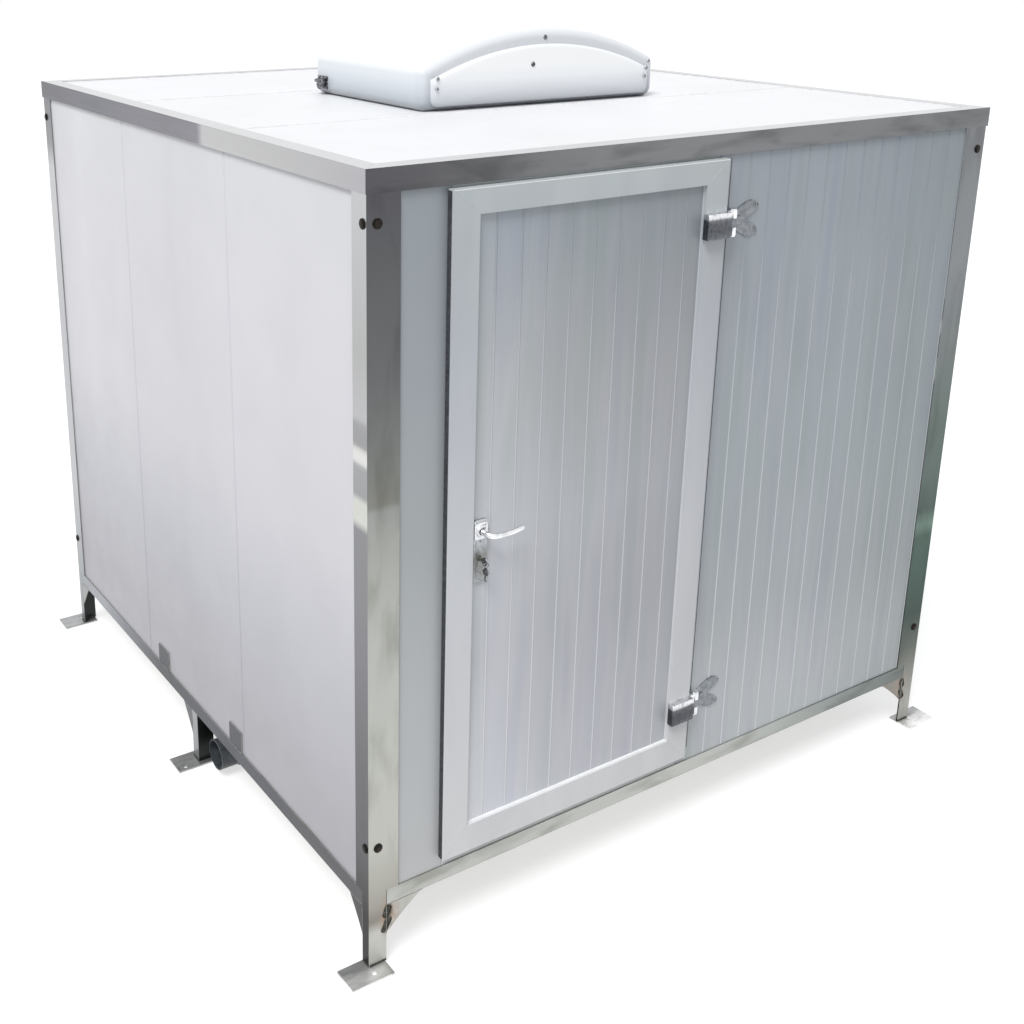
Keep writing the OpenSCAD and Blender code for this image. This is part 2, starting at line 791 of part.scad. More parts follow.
// A lever: its hub starts 2 inside the plate, and the arm rises a little towards its tip
module lever_half(y_hub, y_arm) {
    out = y_arm < y_hub ? -1 : 1;
    translate([lever_x, 0, lever_z]) difference() {
        union() {
            along_y(hub_r, min(y_hub, y_arm), max(y_hub, y_arm));
            translate([0, y_arm, 0]) {
                sphere(r = hub_r);
                rotate([0, -lever_tilt, 0]) along_x(lever_r, 0, lever_l - lever_r);
                rotate([0, -lever_tilt, 0]) translate([lever_l - lever_r, 0, 0]) sphere(r = lever_r);
            }
        }
        span([-spindle_s / 2, min(y_hub - 1, y_hub + out * socket_l), -spindle_s / 2],
            [spindle_s / 2, max(y_hub + 1, y_hub + out * socket_l), spindle_s / 2]);
    }
}

module lever_outer() {
    color("#e2e4e6") lever_half(infill_face - plate_t + 2, lever_y);
}

module lever_inner() {
    color("#e2e4e6") lever_half(plug_back + plate_t - 2, inner_lever_y);
}

// Square bar through both levers, with the round follower that turns in the lock case
module spindle() {
    color("#8e9194") translate([lever_x, 0, lever_z]) {
        span([-spindle_s / 2, infill_face - plate_t + 2 - socket_l, -spindle_s / 2],
            [spindle_s / 2, plug_back + plate_t - 2 + socket_l, spindle_s / 2]);
        along_y(hub_r, lock_y - lock_t / 2, lock_y + lock_t / 2);
    }
}

// The latch nose is sloped on the side that meets the strike first
module latch_bolt() {
    x0 = plug_x0 - latch_throw;
    y0 = lock_y - latch_s[1] / 2;
    color("#d0d2d4") translate([0, 0, latch_z - latch_s[2] / 2]) linear_extrude(latch_s[2])
        polygon([[x0, y0], [x0 + latch_s[0], y0], [x0 + latch_s[0], y0 + latch_s[1]],
            [x0 + latch_throw, y0 + latch_s[1]]]);
}

module dead_bolt() {
    color("#d0d2d4") translate([plug_x0, lock_y - dead_s[1] / 2, dead_z - dead_s[2] / 2]) cube(dead_s);
}

module cylinder_plug() {
    color("#c8b27a") translate([lever_x, 0, key_z]) along_y(plug_r, cylinder_y, plug_back - 9);
}

// A key's outline: bow with its eye near the top, shank downwards
module key_flat(shank) {
    difference() {
        union() {
            circle(r = bow_r);
            translate([-4, -bow_r - shank]) square([8, shank + 4]);
        }
        translate([0, eye_up]) circle(r = eye_r);
    }
}

// The key in the lock, its ring, and a second key that hangs from the ring
module key() {
    hang = eye_r - wire_r + 0.2;
    eye_y = -bow_r - 4 - eye_up;
    color("#a8a9ab") translate([lever_x, cylinder_y, key_z]) {
        translate([-key_t / 2, -bow_r - 4, 0]) rotate([90, 0, 90])
            linear_extrude(key_t) rotate(90) key_flat(4);
        translate([0, eye_y, -hang - key_ring_r]) rotate([90, 0, 0])
            rotate_extrude() translate([key_ring_r, 0]) circle(r = wire_r);
        translate([-key_t / 2, eye_y, -2 * hang - 2 * key_ring_r - eye_up]) rotate([90, 0, 90])
            linear_extrude(key_t) key_flat(16);
    }
}

module roof_curb() {
    in = vent_s / 2;
    out = in + curb_t;
    color("#d9dadc") translate([hood_x, 0, 0]) difference() {
        span([-out, -out, roof_top], [out, out, roof_top + curb_h]);
        span([-in, -in, roof_top - 1], [in, in, roof_top + curb_h + 1]);
    }
}

// Points of the hood's outline, with balls of radius r resting inside it: arch, then lower corners
function hood_outline(r) = [
    for (i = [-6:6]) let (a = i / 6 * asin((hood_w / 2 - hood_round) / (arch_r - hood_round)))
        [(arch_r - hood_round) * sin(a), hood_h - arch_r + (arch_r - hood_round) * cos(a)],
    [hood_w / 2 - hood_round, hood_round], [-hood_w / 2 + hood_round, hood_round]];

module hood_body(r) {
    hull() for (p = hood_outline(r), y = [-hood_d / 2 + hood_round, hood_d / 2 - hood_round])
        translate([p[0], y, p[1]]) sphere(r = r, $fn = 32);
}

module hood_shell() {
    in_x = hood_w / 2 - hood_round;
    in_y = hood_d / 2 - hood_round;
    color("#f6f6f6") translate([hood_x, 0, hood_z]) difference() {
        hood_body(hood_round);
        hood_body(hood_round - hood_t);
        span([-in_x, -in_y, -1], [in_x, in_y, hood_round]);
        for (x = [-3:3], z = [0.24 * hood_h, 0.336 * hood_h])
            span([(x * 0.12 - 0.04) * hood_w, hood_d / 2 - hood_t - 4, z],
                [(x * 0.12 + 0.04) * hood_w, hood_d / 2 + 1, z + 12]);
    }
}

// The D-shaped outline of the front panel: an arch cut off above the roof
module face_outline() {
    half = face_w / 2;
    rise = face_h - face_eaves;
    r = (half * half + rise * rise) / (2 * rise);
    corner = 24;
    low = 14;
    intersection() {
        translate([0, face_h - r]) circle(r = r, $fn = 180);
        union() {
            translate([-half, low + corner]) square([2 * half, face_h]);
            translate([-half + corner, low]) square([2 * half - 2 * corner, face_h]);
            for (side = [-1, 1]) translate([side * (half - corner), low + corner]) circle(r = corner);
        }
    }
}

module hood_front_panel() {
    color("#f1f2f4") translate([hood_x, hood_front, hood_z]) rotate([90, 0, 0]) linear_extrude(face_t)
        face_outline();
}

module hood_screws() {
    color("#55585c") translate([hood_x, hood_front - face_t, hood_z]) {
        for (side = [-1, 1], z = [0.31 * face_h, 0.47 * face_h])
            translate([side * (face_w / 2 - 14), 0, z]) along_y(screw_r, -3, 0);
        translate([-30, 0, 0.605 * face_h]) along_y(screw_r + 1, -3, 0);
    }
}

// Toggle catch: a plate on the hood's side, a body, and a round bar across it
module hood_catch() {
    color("#77797c") translate([hood_x - hood_w / 2, catch_y, hood_z + 44]) {
        span([-4, -34, -24], [0, 34, 22]);
        span([-15, -26, -16], [-3, 26, 12]);
        translate([-15, 0, 4]) along_y(6, -30, 30);
    }
}

module fan_bracket() {
    reach = vent_s / 2 + curb_t / 2;
    color("#8f9397") translate([hood_x, 0, roof_top + curb_h])
        for (y = [-1, 1]) span([-reach, y * 30 - 12, 0], [reach, y * 30 + 12, bracket_t]);
}

module fan_motor() {
    color("#5d6165") translate([hood_x, 0, roof_top + curb_h]) difference() {
        translate([0, 0, -motor_l]) cylinder(r = motor_r, h = motor_l);
        translate([0, 0, -motor_l - 1]) cylinder(r = shaft_r + running, h = motor_l - 8);
    }
}

module fan_impeller() {
    color("#2f3336") translate([hood_x, 0, fan_z]) {
        cylinder(r = fan_hub_r, h = fan_hub_h);
        cylinder(r = shaft_r, h = fan_hub_h + 2 + motor_l - 12);
        for (i = [0:blades - 1]) rotate([0, 0, i * 360 / blades]) intersection() {
            translate([0, 0, fan_hub_h / 2]) rotate([24, 0, 0])
                span([fan_hub_r - 12, -22, -1.5], [fan_r + 20, 22, 1.5]);
            translate([0, 0, -10]) cylinder(r = fan_r, h = fan_hub_h + 20);
        }
    }
}

module ceiling_grille() {
    half = vent_s / 2 + 24;
    gap = 14;
    color("#e8e9ea") translate([hood_x, 0, roof_under - 6]) difference() {
        span([-half, -half, 0], [half, half, 6]);
        for (i = [-7:7])
            span([-vent_s / 2 + 16, i * 26 - gap / 2, -1], [vent_s / 2 - 16, i * 26 + gap / 2, 7]);
    }
}

// Stadium outline: two arcs joined by straight sides, the front arc's centre at the origin
module stadium(r, stretch) {
    circle(r = r);
    translate([0, stretch]) circle(r = r);
    translate([-r, 0]) square([2 * r, stretch]);
}

module wc_pan() {
    color("#f3f3f1") difference() {
        union() {
            hull() {
                translate([pan_x, bowl_y, rim_z - 60]) linear_extrude(60) stadium(pan_r, pan_stretch);
                span([pan_x - 110, bowl_y + 20, floor_z], [pan_x + 110, hinge_y + 30, floor_z + 30]);
            }
            span([pan_x - 104, hinge_y - 60, floor_z], [pan_x + 104, room_y, rim_z - 40]);
            span([pan_x - 170, hinge_y - 34, rim_z - 70], [pan_x + 170, room_y, rim_z]);
        }
        hull() {
            translate([pan_x, bowl_y, rim_z - 20]) linear_extrude(24) stadium(pan_r - 40, pan_stretch - 16);
            translate([pan_x, bowl_y + 60, rim_z - 170]) linear_extrude(4) stadium(50, 20);
        }
        translate([pan_x, outlet_pan_y, floor_z - 1]) cylinder(r = pipe_r + 3, h = 80);
    }
}

module wc_cistern() {
    y1 = room_y;
    y0 = y1 - cistern_d;
    z1 = rim_z + cistern_h;
    color("#f3f3f1") difference() {
        span([pan_x - cistern_w / 2, y0, rim_z], [pan_x + cistern_w / 2, y1, z1]);
        span([pan_x - cistern_w / 2 + 10, y0 + 10, rim_z + 10],
            [pan_x + cistern_w / 2 - 10, y1 - 10, z1 - cistern_top_t]);
        translate([pan_x, (y0 + y1) / 2, z1 - 20]) cylinder(r = flush_r + running, h = 25);
    }
}

module flush_button() {
    color("#c9cccf") translate([pan_x, room_y - cistern_d / 2, rim_z + cistern_h]) {
        translate([0, 0, -22]) cylinder(r = flush_r, h = 28);
        translate([0, 0, -22]) cylinder(r = flush_r + 6, h = 22 - cistern_top_t - 0.3);
    }
}

// Seat ring and lid share a pin behind the bowl; both are drawn shut, with the pin at the origin
module wc_ears(z0, z1, reach, places) {
    for (x = places) difference() {
        union() {
            along_x(11, x - 9, x + 9);
            span([x - 9, -seat_back - reach, z0], [x + 9, 0, z1]);
        }
        along_x(wc_pin_r + running, x - 10, x + 10);
    }
}

module wc_seat() {
    shift = bowl_y - hinge_y;
    color("#f8f8f8") translate([pan_x, hinge_y, wc_pin_z]) {
        wc_ears(-10, 0, 22, [-60, 60]);
        translate([0, shift, -12.5]) linear_extrude(seat_t) difference() {
            stadium(pan_r - 2, pan_stretch);
            translate([0, 6]) stadium(pan_r - ring_w, pan_stretch - 14);
        }
    }
}

module wc_lid() {
    shift = bowl_y - hinge_y;
    color("#f8f8f8") translate([pan_x, hinge_y, wc_pin_z]) rotate([-lid_open, 0, 0]) {
        wc_ears(9.5, 15, 24, [-90, 90]);
        translate([0, shift, 11]) linear_extrude(lid_t) stadium(pan_r + 4, pan_stretch);
    }
}

module wc_hinge_pin() {
    color("#c9cccf") translate([pan_x, hinge_y, 0]) {
        translate([0, 0, wc_pin_z]) along_x(wc_pin_r, -118, 118);
        for (side = [-1, 1]) translate([side * 118, 0, rim_z]) difference() {
            cylinder(r = 12, h = wc_pin_z - rim_z + 12);
            translate([0, 0, wc_pin_z - rim_z]) along_x(wc_pin_r, -13, 13);
        }
    }
}

module wash_basin() {
    y1 = room_y;
    y0 = y1 - basin_d;
    bowl = [basin_x, y1 - basin_d / 2 - 30, 0];
    color("#f3f3f1") difference() {
        union() {
            span([basin_x - basin_w / 2, y0, basin_z - 60], [basin_x + basin_w / 2, y1, basin_z]);
            hull() {
                span([basin_x - basin_w / 2 + 30, y0 + 40, basin_z - 60],
                    [basin_x + basin_w / 2 - 30, y1, basin_z - 58]);
                span([basin_x - 110, y0 + 120, basin_z - 170], [basin_x + 110, y1, basin_z - 168]);
            }
        }
        hull() {
            translate(bowl + [0, 0, basin_z]) cylinder(r = basin_d / 2 - 60, h = 1);
            translate(bowl + [0, 0, basin_z - 130]) cylinder(r = 60, h = 1);
        }
        translate(bowl + [0, 0, basin_z - 200]) cylinder(r = trap_r, h = 100);
        translate([basin_x, y1 - 45, basin_z - 300]) cylinder(r = 14, h = 301);
    }
}

module tap_body() {
    color("#d5d8da") translate([basin_x, room_y - 45, basin_z]) difference() {
        union() {
            translate([0, 0, -120]) cylinder(r = 13.9, h = 120);
            cylinder(r = 26, h = 8);
            cylinder(r = 20, h = 78);
            translate([0, 0, 52]) along_y(11, -118, 0);
            translate([0, -110, 30]) cylinder(r = 9, h = 26);
        }
        translate([0, 0, 60]) cylinder(r = 14 + running, h = 20);
    }
}

module tap_button() {
    color("#d5d8da") translate([basin_x, room_y - 45, basin_z]) {
        translate([0, 0, 68]) cylinder(r = 14, h = 20);
        translate([0, 0, 87]) cylinder(r = 19, h = 14);
    }
}

module basin_trap() {
    y = room_y - basin_d / 2 - 30;
    color("#dcdee0") translate([basin_x, y, 0]) {
        translate([0, 0, basin_z - 250]) cylinder(r = trap_r - 0.2, h = 120);
        translate([0, 0, basin_z - 330]) cylinder(r = 34, h = 80);
        translate([0, 0, basin_z - 270]) along_y(16, 0, basin_d / 2 + 30);
    }
}

// Waste pipe: down from the pan, forward under the floor and out to the left
module soil_pipe() {
    color("#6e7275") difference() {
        union() {
            soil_route(pipe_r, 0);
            translate([0, -outlet_y, pipe_z]) along_x(pipe_r + 5, sleeve_x, sleeve_x + sleeve_l);
        }
        soil_route(pipe_r - pipe_t, 1);
    }
}

module soil_route(r, past) {
    z1 = floor_z + 60 + past;
    translate([pan_x, outlet_pan_y, pipe_z]) {
        cylinder(r = r, h = z1 - pipe_z);
        sphere(r = r);
    }
    translate([pan_x, 0, pipe_z]) along_y(r, -outlet_y, outlet_pan_y);
    translate([pan_x, -outlet_y, pipe_z]) sphere(r = r);
    translate([0, -outlet_y, pipe_z]) along_x(r, outlet_x - past, pan_x);
}

// Straps round the pipe, hung from the cross members above it
module pipe_hangers() {
    color("#9a9ca0") for (y = [member_y[0], member_y[1]]) translate([pan_x, y, 0]) difference() {
        union() {
            translate([0, 0, pipe_z]) along_y(pipe_r + 3, -12, 12);
            span([-12, -12, pipe_z], [12, 12, seat_z]);
        }
        translate([0, 0, pipe_z]) along_y(pipe_r + running, -13, 13);
    }
}

module ceiling_light() {
    color("#f2f2e8") translate([light_x, 0, roof_under]) mirror([0, 0, 1]) cylinder(r = light_r, h = light_h);
}

corner_post_front_left();
corner_post_front_right();
corner_post_rear_left();
corner_post_rear_right();
mid_legs();
foot_plates();
gussets();
bottom_rails();
cross_members();
roof_rims();
post_bolts();
rail_clips();
floor_panel();
floor_covering();
left_wall_panels();
right_wall_panels();
rear_wall_panels();
front_strip_panel();
front_ribbed_panel();
roof_panels();
door_jamb();
strike_plate();
hinge_wall_leaves();
door_frame_profile();
door_infill();
door_gasket();
hinge_door_leaves();
hinge_pins();
handle_plates();
lock_case();
lock_cylinder();
lever_outer();
lever_inner();
spindle();
latch_bolt();
dead_bolt();
cylinder_plug();
key();
roof_curb();
hood_shell();
hood_front_panel();
hood_screws();
hood_catch();
fan_bracket();
fan_motor();
fan_impeller();
ceiling_grille();
wc_pan();
wc_cistern();
flush_button();
wc_seat();
wc_lid();
wc_hinge_pin();
wash_basin();
tap_body();
tap_button();
basin_trap();
soil_pipe();
pipe_hangers();
ceiling_light();
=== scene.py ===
"""Sanitary container: the finish of each piece, laid over the fixed frame of solids.

Lengths below are millimetres; everything in the scene is metres.
X runs right along the front, Y runs back, Z is up, and the origin is on the ground.
"""
import math

import bmesh
import bpy
from mathutils import Matrix, Vector


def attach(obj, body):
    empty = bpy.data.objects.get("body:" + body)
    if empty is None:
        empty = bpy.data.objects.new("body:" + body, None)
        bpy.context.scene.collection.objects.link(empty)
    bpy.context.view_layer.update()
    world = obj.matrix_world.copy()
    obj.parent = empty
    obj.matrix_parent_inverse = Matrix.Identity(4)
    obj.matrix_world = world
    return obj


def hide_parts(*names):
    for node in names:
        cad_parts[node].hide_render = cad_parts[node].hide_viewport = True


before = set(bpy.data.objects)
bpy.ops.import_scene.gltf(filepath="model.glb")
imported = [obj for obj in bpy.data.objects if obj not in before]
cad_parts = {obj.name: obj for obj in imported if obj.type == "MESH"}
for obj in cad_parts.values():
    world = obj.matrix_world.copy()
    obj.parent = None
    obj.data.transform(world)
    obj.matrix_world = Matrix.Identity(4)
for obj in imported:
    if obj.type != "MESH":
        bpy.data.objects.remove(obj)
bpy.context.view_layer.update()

# Planes of the cabin; EDGE is a little past all of them, for fades
EDGE, RIM, POST, WALL, ROOM = 1220.0, 1219.0, 1215.0, 1210.0, 1160.0
RAIL_LOW, RAIL_TOP, FLOOR = 200.0, 250.0, 288.0
ROOF_UNDER, ROOF, TOP = 2286.0, 2336.0, 2340.0
RIM_LEG = 61.0
LEG_WIDE, LEG_DEEP = 60.0, 35.0
SEAM = 406.0
BOLT_Z = (405.0, 2203.0)
CLIP_Y = (268.0, -347.0)
PANEL_LEFT, PANEL_HIGH = -24.0, 2278.0
RIB_PITCH = 84.0
CORNERS = [(sx, sy) for sx in (-1, 1) for sy in (-1, 1)]

# Door leaf
LEAF_LEFT, LEAF_RIGHT = -975.0, -9.0
LEAF_LOW, LEAF_HIGH = 287.0, 2270.0
LEAF_FACE, LAP_BACK, PLUG_BACK = -1238.0, -1216.0, -1176.0
INFILL_FACE = -1226.0
INFILL_LEFT, INFILL_RIGHT = -890.0, -94.0
INFILL_LOW, INFILL_HIGH = 377.0, 2200.0
HINGE_X, HINGE_Y = 21.0, -1232.0
HINGE_Z = (2080.0, 482.0)
LEVER_X, LEVER_Z = -863.0, 1315.0
PLATE_LOW, PLATE_HIGH = 1159.0, 1349.0

# Roof hood
HOOD_X = 12.0
HOOD_HALF, HOOD_DEEP, HOOD_HIGH = 500.0, 350.0, 250.0
HOOD_ROUND = 32.0
ARCH_R = 1126.8

# Sanitary ware
WC_X, BASIN_X, LAMP_X = -650.0, 480.0, -608.0
FLUSH_Y, FLUSH_R = 1080.0, 20.0
PIPE_Y, PIPE_Z = -118.0, 78.0


def linear(code):
    """A colour written as on a colour chart, turned to the light that it reflects."""
    out = []
    for i in (1, 3, 5):
        part = int(code[i:i + 2], 16) / 255
        out.append(part / 12.92 if part <= 0.04045 else ((part + 0.055) / 1.055) ** 2.4)
    return (*out, 1.0)


def join(tree, source, socket):
    """Links a socket, or a node's first output, to an input."""
    tree.links.new(getattr(source, "outputs", [source])[0], socket)


def add_node(tree, kind, settings=None, links=None):
    """Adds a node with its settings and links; "stops" are (place, colour) pairs along a ramp."""
    node = tree.nodes.new(kind)
    for key, value in (settings or {}).items():
        if key == "stops":
            while len(node.color_ramp.elements) < len(value):
                node.color_ramp.elements.new(0.5)
            for element, (place, colour) in zip(node.color_ramp.elements, value):
                element.position = place
                element.color = linear(colour)
        elif isinstance(key, int) or key in node.inputs:
            node.inputs[key].default_value = value
        else:
            setattr(node, key, value)
    for key, source in (links or {}).items():
        join(tree, source, node.inputs[key])
    return node


# Finishes

def grain(tree, place, size, detail, along=(1, 1, 1), distortion=0.0):
    """Uneven pattern in patches of about that many millimetres, drawn out along an axis where given."""
    scale = tuple(1000 / size / a for a in along)
    at = add_node(tree, "ShaderNodeMapping", {"Scale": scale}, {"Vector": place})
    return add_node(tree, "ShaderNodeTexNoise", {"Scale": 1.0, "Detail": detail, "Distortion": distortion},
                    {"Vector": at})


def fade_along(tree, place, axis, low, high, stops):
    """Colours along one axis between two places in millimetres."""
    parts = add_node(tree, "ShaderNodeSeparateXYZ", None, {0: place})
    share = add_node(tree, "ShaderNodeMapRange", {"From Min": low / 1000, "From Max": high / 1000},
                     {"Value": parts.outputs["XYZ".index(axis)]})
    return add_node(tree, "ShaderNodeValToRGB", {"stops": stops}, {0: share})


def patches(tree, place, size, stops):
    """Patches of about that many millimetres, each in a shade of its own."""
    at = add_node(tree, "ShaderNodeMapping", {"Scale": (1000 / size,) * 3}, {"Vector": place})
    cells = add_node(tree, "ShaderNodeTexVoronoi", {"Scale": 1.0}, {"Vector": at})
    parts = add_node(tree, "ShaderNodeSeparateXYZ", None, {0: cells.outputs["Color"]})
    return add_node(tree, "ShaderNodeValToRGB", {"stops": stops}, {0: parts})


def add_relief(tree, shader, place, relief, edge):
    """Bumps of (size, detail, depth) over edges eased by a radius, all in millimetres."""
    normal = None
    if edge:
        normal = add_node(tree, "ShaderNodeBevel", {"samples": 6, "Radius": edge / 1000})
    for size, detail, depth, *along in relief:
        below = {"Normal": normal} if normal else {}
        normal = add_node(tree, "ShaderNodeBump", {"Distance": depth / 1000},
                          {"Height": grain(tree, place, size, detail, *along), **below})
    if normal:
        join(tree, normal, shader.inputs["Normal"])


def make_finish(name, colour, metallic, roughness, fades=(), marks=(), cells=None, gloss=None, relief=(),
                edge=0.0, changes=(), **sockets):
    """A finish from its plain colour or fades, marks and cells multiplied together, uneven gloss and relief.

    fades are (axis, low, high, stops), marks (size, detail, stops), cells (size, stops), gloss (size, lowest,
    highest roughness) and relief (size, detail, depth). Marks, gloss and relief may end with how far they are
    drawn out along X, Y and Z. changes give pairs of a share and of what it lays over the colour.
    """
    material = bpy.data.materials.new(name)
    material.use_nodes = True
    material.diffuse_color = linear(colour)
    tree = material.node_tree
    shader = tree.nodes["Principled BSDF"]
    plain = {"Base Color": linear(colour), "Metallic": metallic, "Roughness": roughness, **sockets}
    for key, value in plain.items():
        shader.inputs[key.replace("_", " ")].default_value = value
    place = add_node(tree, "ShaderNodeTexCoord").outputs["Object"]
    layers = [fade_along(tree, place, *fade) for fade in fades]
    for size, detail, stops, *along in marks:
        noise = grain(tree, place, size, detail, *along, distortion=0.4)
        layers.append(add_node(tree, "ShaderNodeValToRGB", {"stops": stops}, {0: noise}))
    if cells:
        layers.append(patches(tree, place, *cells))
    tone = layers[0] if layers else None
    for layer in layers[1:]:
        tone = add_node(tree, "ShaderNodeMix", {"data_type": "RGBA", "blend_type": "MULTIPLY", 0: 1.0},
                        {6: tone, 7: layer}).outputs[2]
    for change in changes:
        for share, over in change(tree, place):
            fixed, linked = ({7: linear(over)}, {}) if isinstance(over, str) else ({}, {7: over})
            tone = add_node(tree, "ShaderNodeMix", {"data_type": "RGBA", **fixed},
                            {0: share, 6: tone, **linked}).outputs[2]
    if tone:
        join(tree, tone, shader.inputs["Base Color"])
    if gloss:
        size, low, high, *along = gloss
        rough = add_node(tree, "ShaderNodeMapRange",
                         {"From Min": 0.25, "From Max": 0.75, "To Min": low, "To Max": high},
                         {"Value": grain(tree, place, size, 3.0, *along)})
        join(tree, rough, shader.inputs["Roughness"])
    add_relief(tree, shader, place, relief, edge)
    return material


def faces_to_the_side(side_fade, top=None):
    """Gives faces that look along X their own fade, and faces that look up their own colour: painted light
    and shade by facing.
    """
    def change(tree, place):
        looks = add_node(tree, "ShaderNodeTexCoord").outputs["Normal"]
        parts = add_node(tree, "ShaderNodeSeparateXYZ", None, {0: looks})
        across = add_node(tree, "ShaderNodeMath", {"operation": "ABSOLUTE"}, {0: parts})
        sideways = add_node(tree, "ShaderNodeMath", {"operation": "GREATER_THAN", 1: 0.5}, {0: across})
        yield sideways, fade_along(tree, place, *side_fade)
        if top:
            yield add_node(tree, "ShaderNodeMath", {"operation": "GREATER_THAN", 1: 0.6},
                           {0: parts.outputs[2]}), top
    return change


def weld_tint_and_hollow_shade(tree, place):
    """Heat tint round the openings at leg and gusset, pinkish brown and patchy; near black on the openings
    themselves as painted shade of the hollows.
    """
    parts = add_node(tree, "ShaderNodeSeparateXYZ", None, {0: place})
    side = add_node(tree, "ShaderNodeMath", {"operation": "ABSOLUTE"}, {0: parts})
    spot = add_node(tree, "ShaderNodeCombineXYZ", None, {0: side, 1: parts.outputs[2]})
    patchy = add_node(tree, "ShaderNodeValToRGB", {"stops": ((0.34, "#000000"), (0.6, "#ffffff"))},
                      {0: grain(tree, place, 20, 4.0)})
    # The first tint is heat tint; the two dark ones, on the openings, are painted shade
    for x, z, wide, tall, reach, tint in ((1.147, 0.160, 0.017, 0.034, 2.6, "#a38f80"),
                                          (1.150, 0.176, 0.0125, 0.021, 1.5, "#4f453c"),
                                          (1.151, 0.130, 0.0115, 0.026, 1.5, "#38312b")):
        away = add_node(tree, "ShaderNodeVectorMath", {"operation": "SUBTRACT", 1: (x, z, 0)}, {0: spot})
        away = add_node(tree, "ShaderNodeVectorMath", {"operation": "DIVIDE", 1: (wide, tall, 1)}, {0: away})
        away = add_node(tree, "ShaderNodeVectorMath", {"operation": "LENGTH"}, {0: away}).outputs["Value"]
        share = add_node(tree, "ShaderNodeMapRange",
                         {"From Min": 0.9, "From Max": reach, "To Min": 0.85, "To Max": 0.0}, {"Value": away})
        yield add_node(tree, "ShaderNodeMath", {"operation": "MULTIPLY"}, {0: share, 1: patchy}), tint


def painted_shade_under_floor(tree, place):
    """Painted shade, nearly black, on the faces of the legs that look forward from under the floor."""
    looks = add_node(tree, "ShaderNodeTexCoord").outputs["Normal"]
    parts = add_node(tree, "ShaderNodeSeparateXYZ", None, {0: looks})
    forward = add_node(tree, "ShaderNodeMath", {"operation": "LESS_THAN", 1: -0.5}, {0: parts.outputs[1]})
    height = add_node(tree, "ShaderNodeSeparateXYZ", None, {0: place}).outputs[2]
    low = add_node(tree, "ShaderNodeMapRange", {"From Min": 0.26, "From Max": 0.2, "To Max": 0.93},
                   {"Value": height})
    yield add_node(tree, "ShaderNodeMath", {"operation": "MULTIPLY"}, {0: forward, 1: low}), "#1f2324"


# Stainless sheet, cold rolled and skin passed: a dull mirror with fine rolling lines along each angle and
# faint handling marks. Its greys are painted reflections, highlights and shade: the fades, and the own fades
# of faces that look sideways
UPRIGHT, LYING = (1, 1, 160), (160, 160, 1)
ROLLED = {"marks": [(110, 3.0, ((0.3, "#dcdcda"), (0.5, "#fbfbfb"), (0.7, "#ffffff")), (0.8, 0.8, 3.0))],
          "gloss": (1.6, 0.28, 0.42, UPRIGHT)}
POST_WEAR = {**ROLLED, "relief": [(1.6, 3.0, 0.03, UPRIGHT)], "edge": 1.2}
POST_SIDE = faces_to_the_side(("Z", 0, TOP, (
    (0.0, "#191918"), (0.075, "#20201f"), (0.1, "#3c3c3b"), (0.17, "#5b5b5e"), (0.3, "#6a6a6d"),
    (0.43, "#7d7c80"), (0.5, "#838386"), (0.59, "#88888b"), (0.6, "#cbccc6"), (0.625, "#c9cac4"),
    (0.633, "#98999b"), (0.667, "#9e9fa0"), (0.673, "#d8d8d6"), (0.686, "#d4d4d1"), (0.692, "#979798"),
    (0.717, "#9c9c9d"), (0.724, "#b6b6b7"), (0.8, "#aeaeae"), (1.0, "#c0c1c3"))))
POSTS = make_finish("stainless_posts", "#9a9da0", 1.0, 0.34, fades=[("Z", 0, TOP, (
    (0.0, "#b6b6b0"), (0.05, "#bfbfb9"), (0.068, "#88847d"), (0.09, "#a09d96"), (0.17, "#b9bab3"),
    (0.3, "#b8b9b3"), (0.45, "#b3b4af"), (0.556, "#a3a59f"), (0.615, "#9a9c99"), (0.622, "#84857f"),
    (0.7, "#747675"), (0.77, "#696a6b"), (0.86, "#616263"),
    (0.97, "#59595d")))], changes=[POST_SIDE, weld_tint_and_hollow_shade], **POST_WEAR)
FAR_POST = make_finish("stainless_far_post", "#9a9da0", 1.0, 0.34, fades=[("Z", 0, TOP, (
    (0.0, "#b4b4ae"), (0.07, "#8f8f8a"), (0.14, "#5f655f"), (0.2, "#3e4d47"), (0.3, "#4a5e56"),
    (0.335, "#4f635b"), (0.345, "#63796f"), (0.355, "#738a80"), (0.37, "#667970"), (0.38, "#566560"),
    (0.55, "#68736f"), (0.66, "#787d7e"), (0.77, "#828689"), (0.9, "#828588"), (1.0, "#7b7d80")))],
    changes=[POST_SIDE, weld_tint_and_hollow_shade], **POST_WEAR)
REAR_SIDE = faces_to_the_side(("Z", 0, TOP, (
    (0.0, "#909496"), (0.1, "#999c9e"), (0.3, "#b6b8ba"), (0.6, "#b4b5b8"), (0.86, "#bfc0c1"),
    (0.9, "#8b8c8e"), (1.0, "#77797c"))))
REAR_POSTS = make_finish(
    "stainless_rear_posts", "#9a9da0", 1.0, 0.34,
    fades=[("Z", 0, TOP, ((0.0, "#9b9c98"), (0.5, "#a6a8a6"), (1.0, "#96989a")))],
    changes=[REAR_SIDE, weld_tint_and_hollow_shade, painted_shade_under_floor], **POST_WEAR)
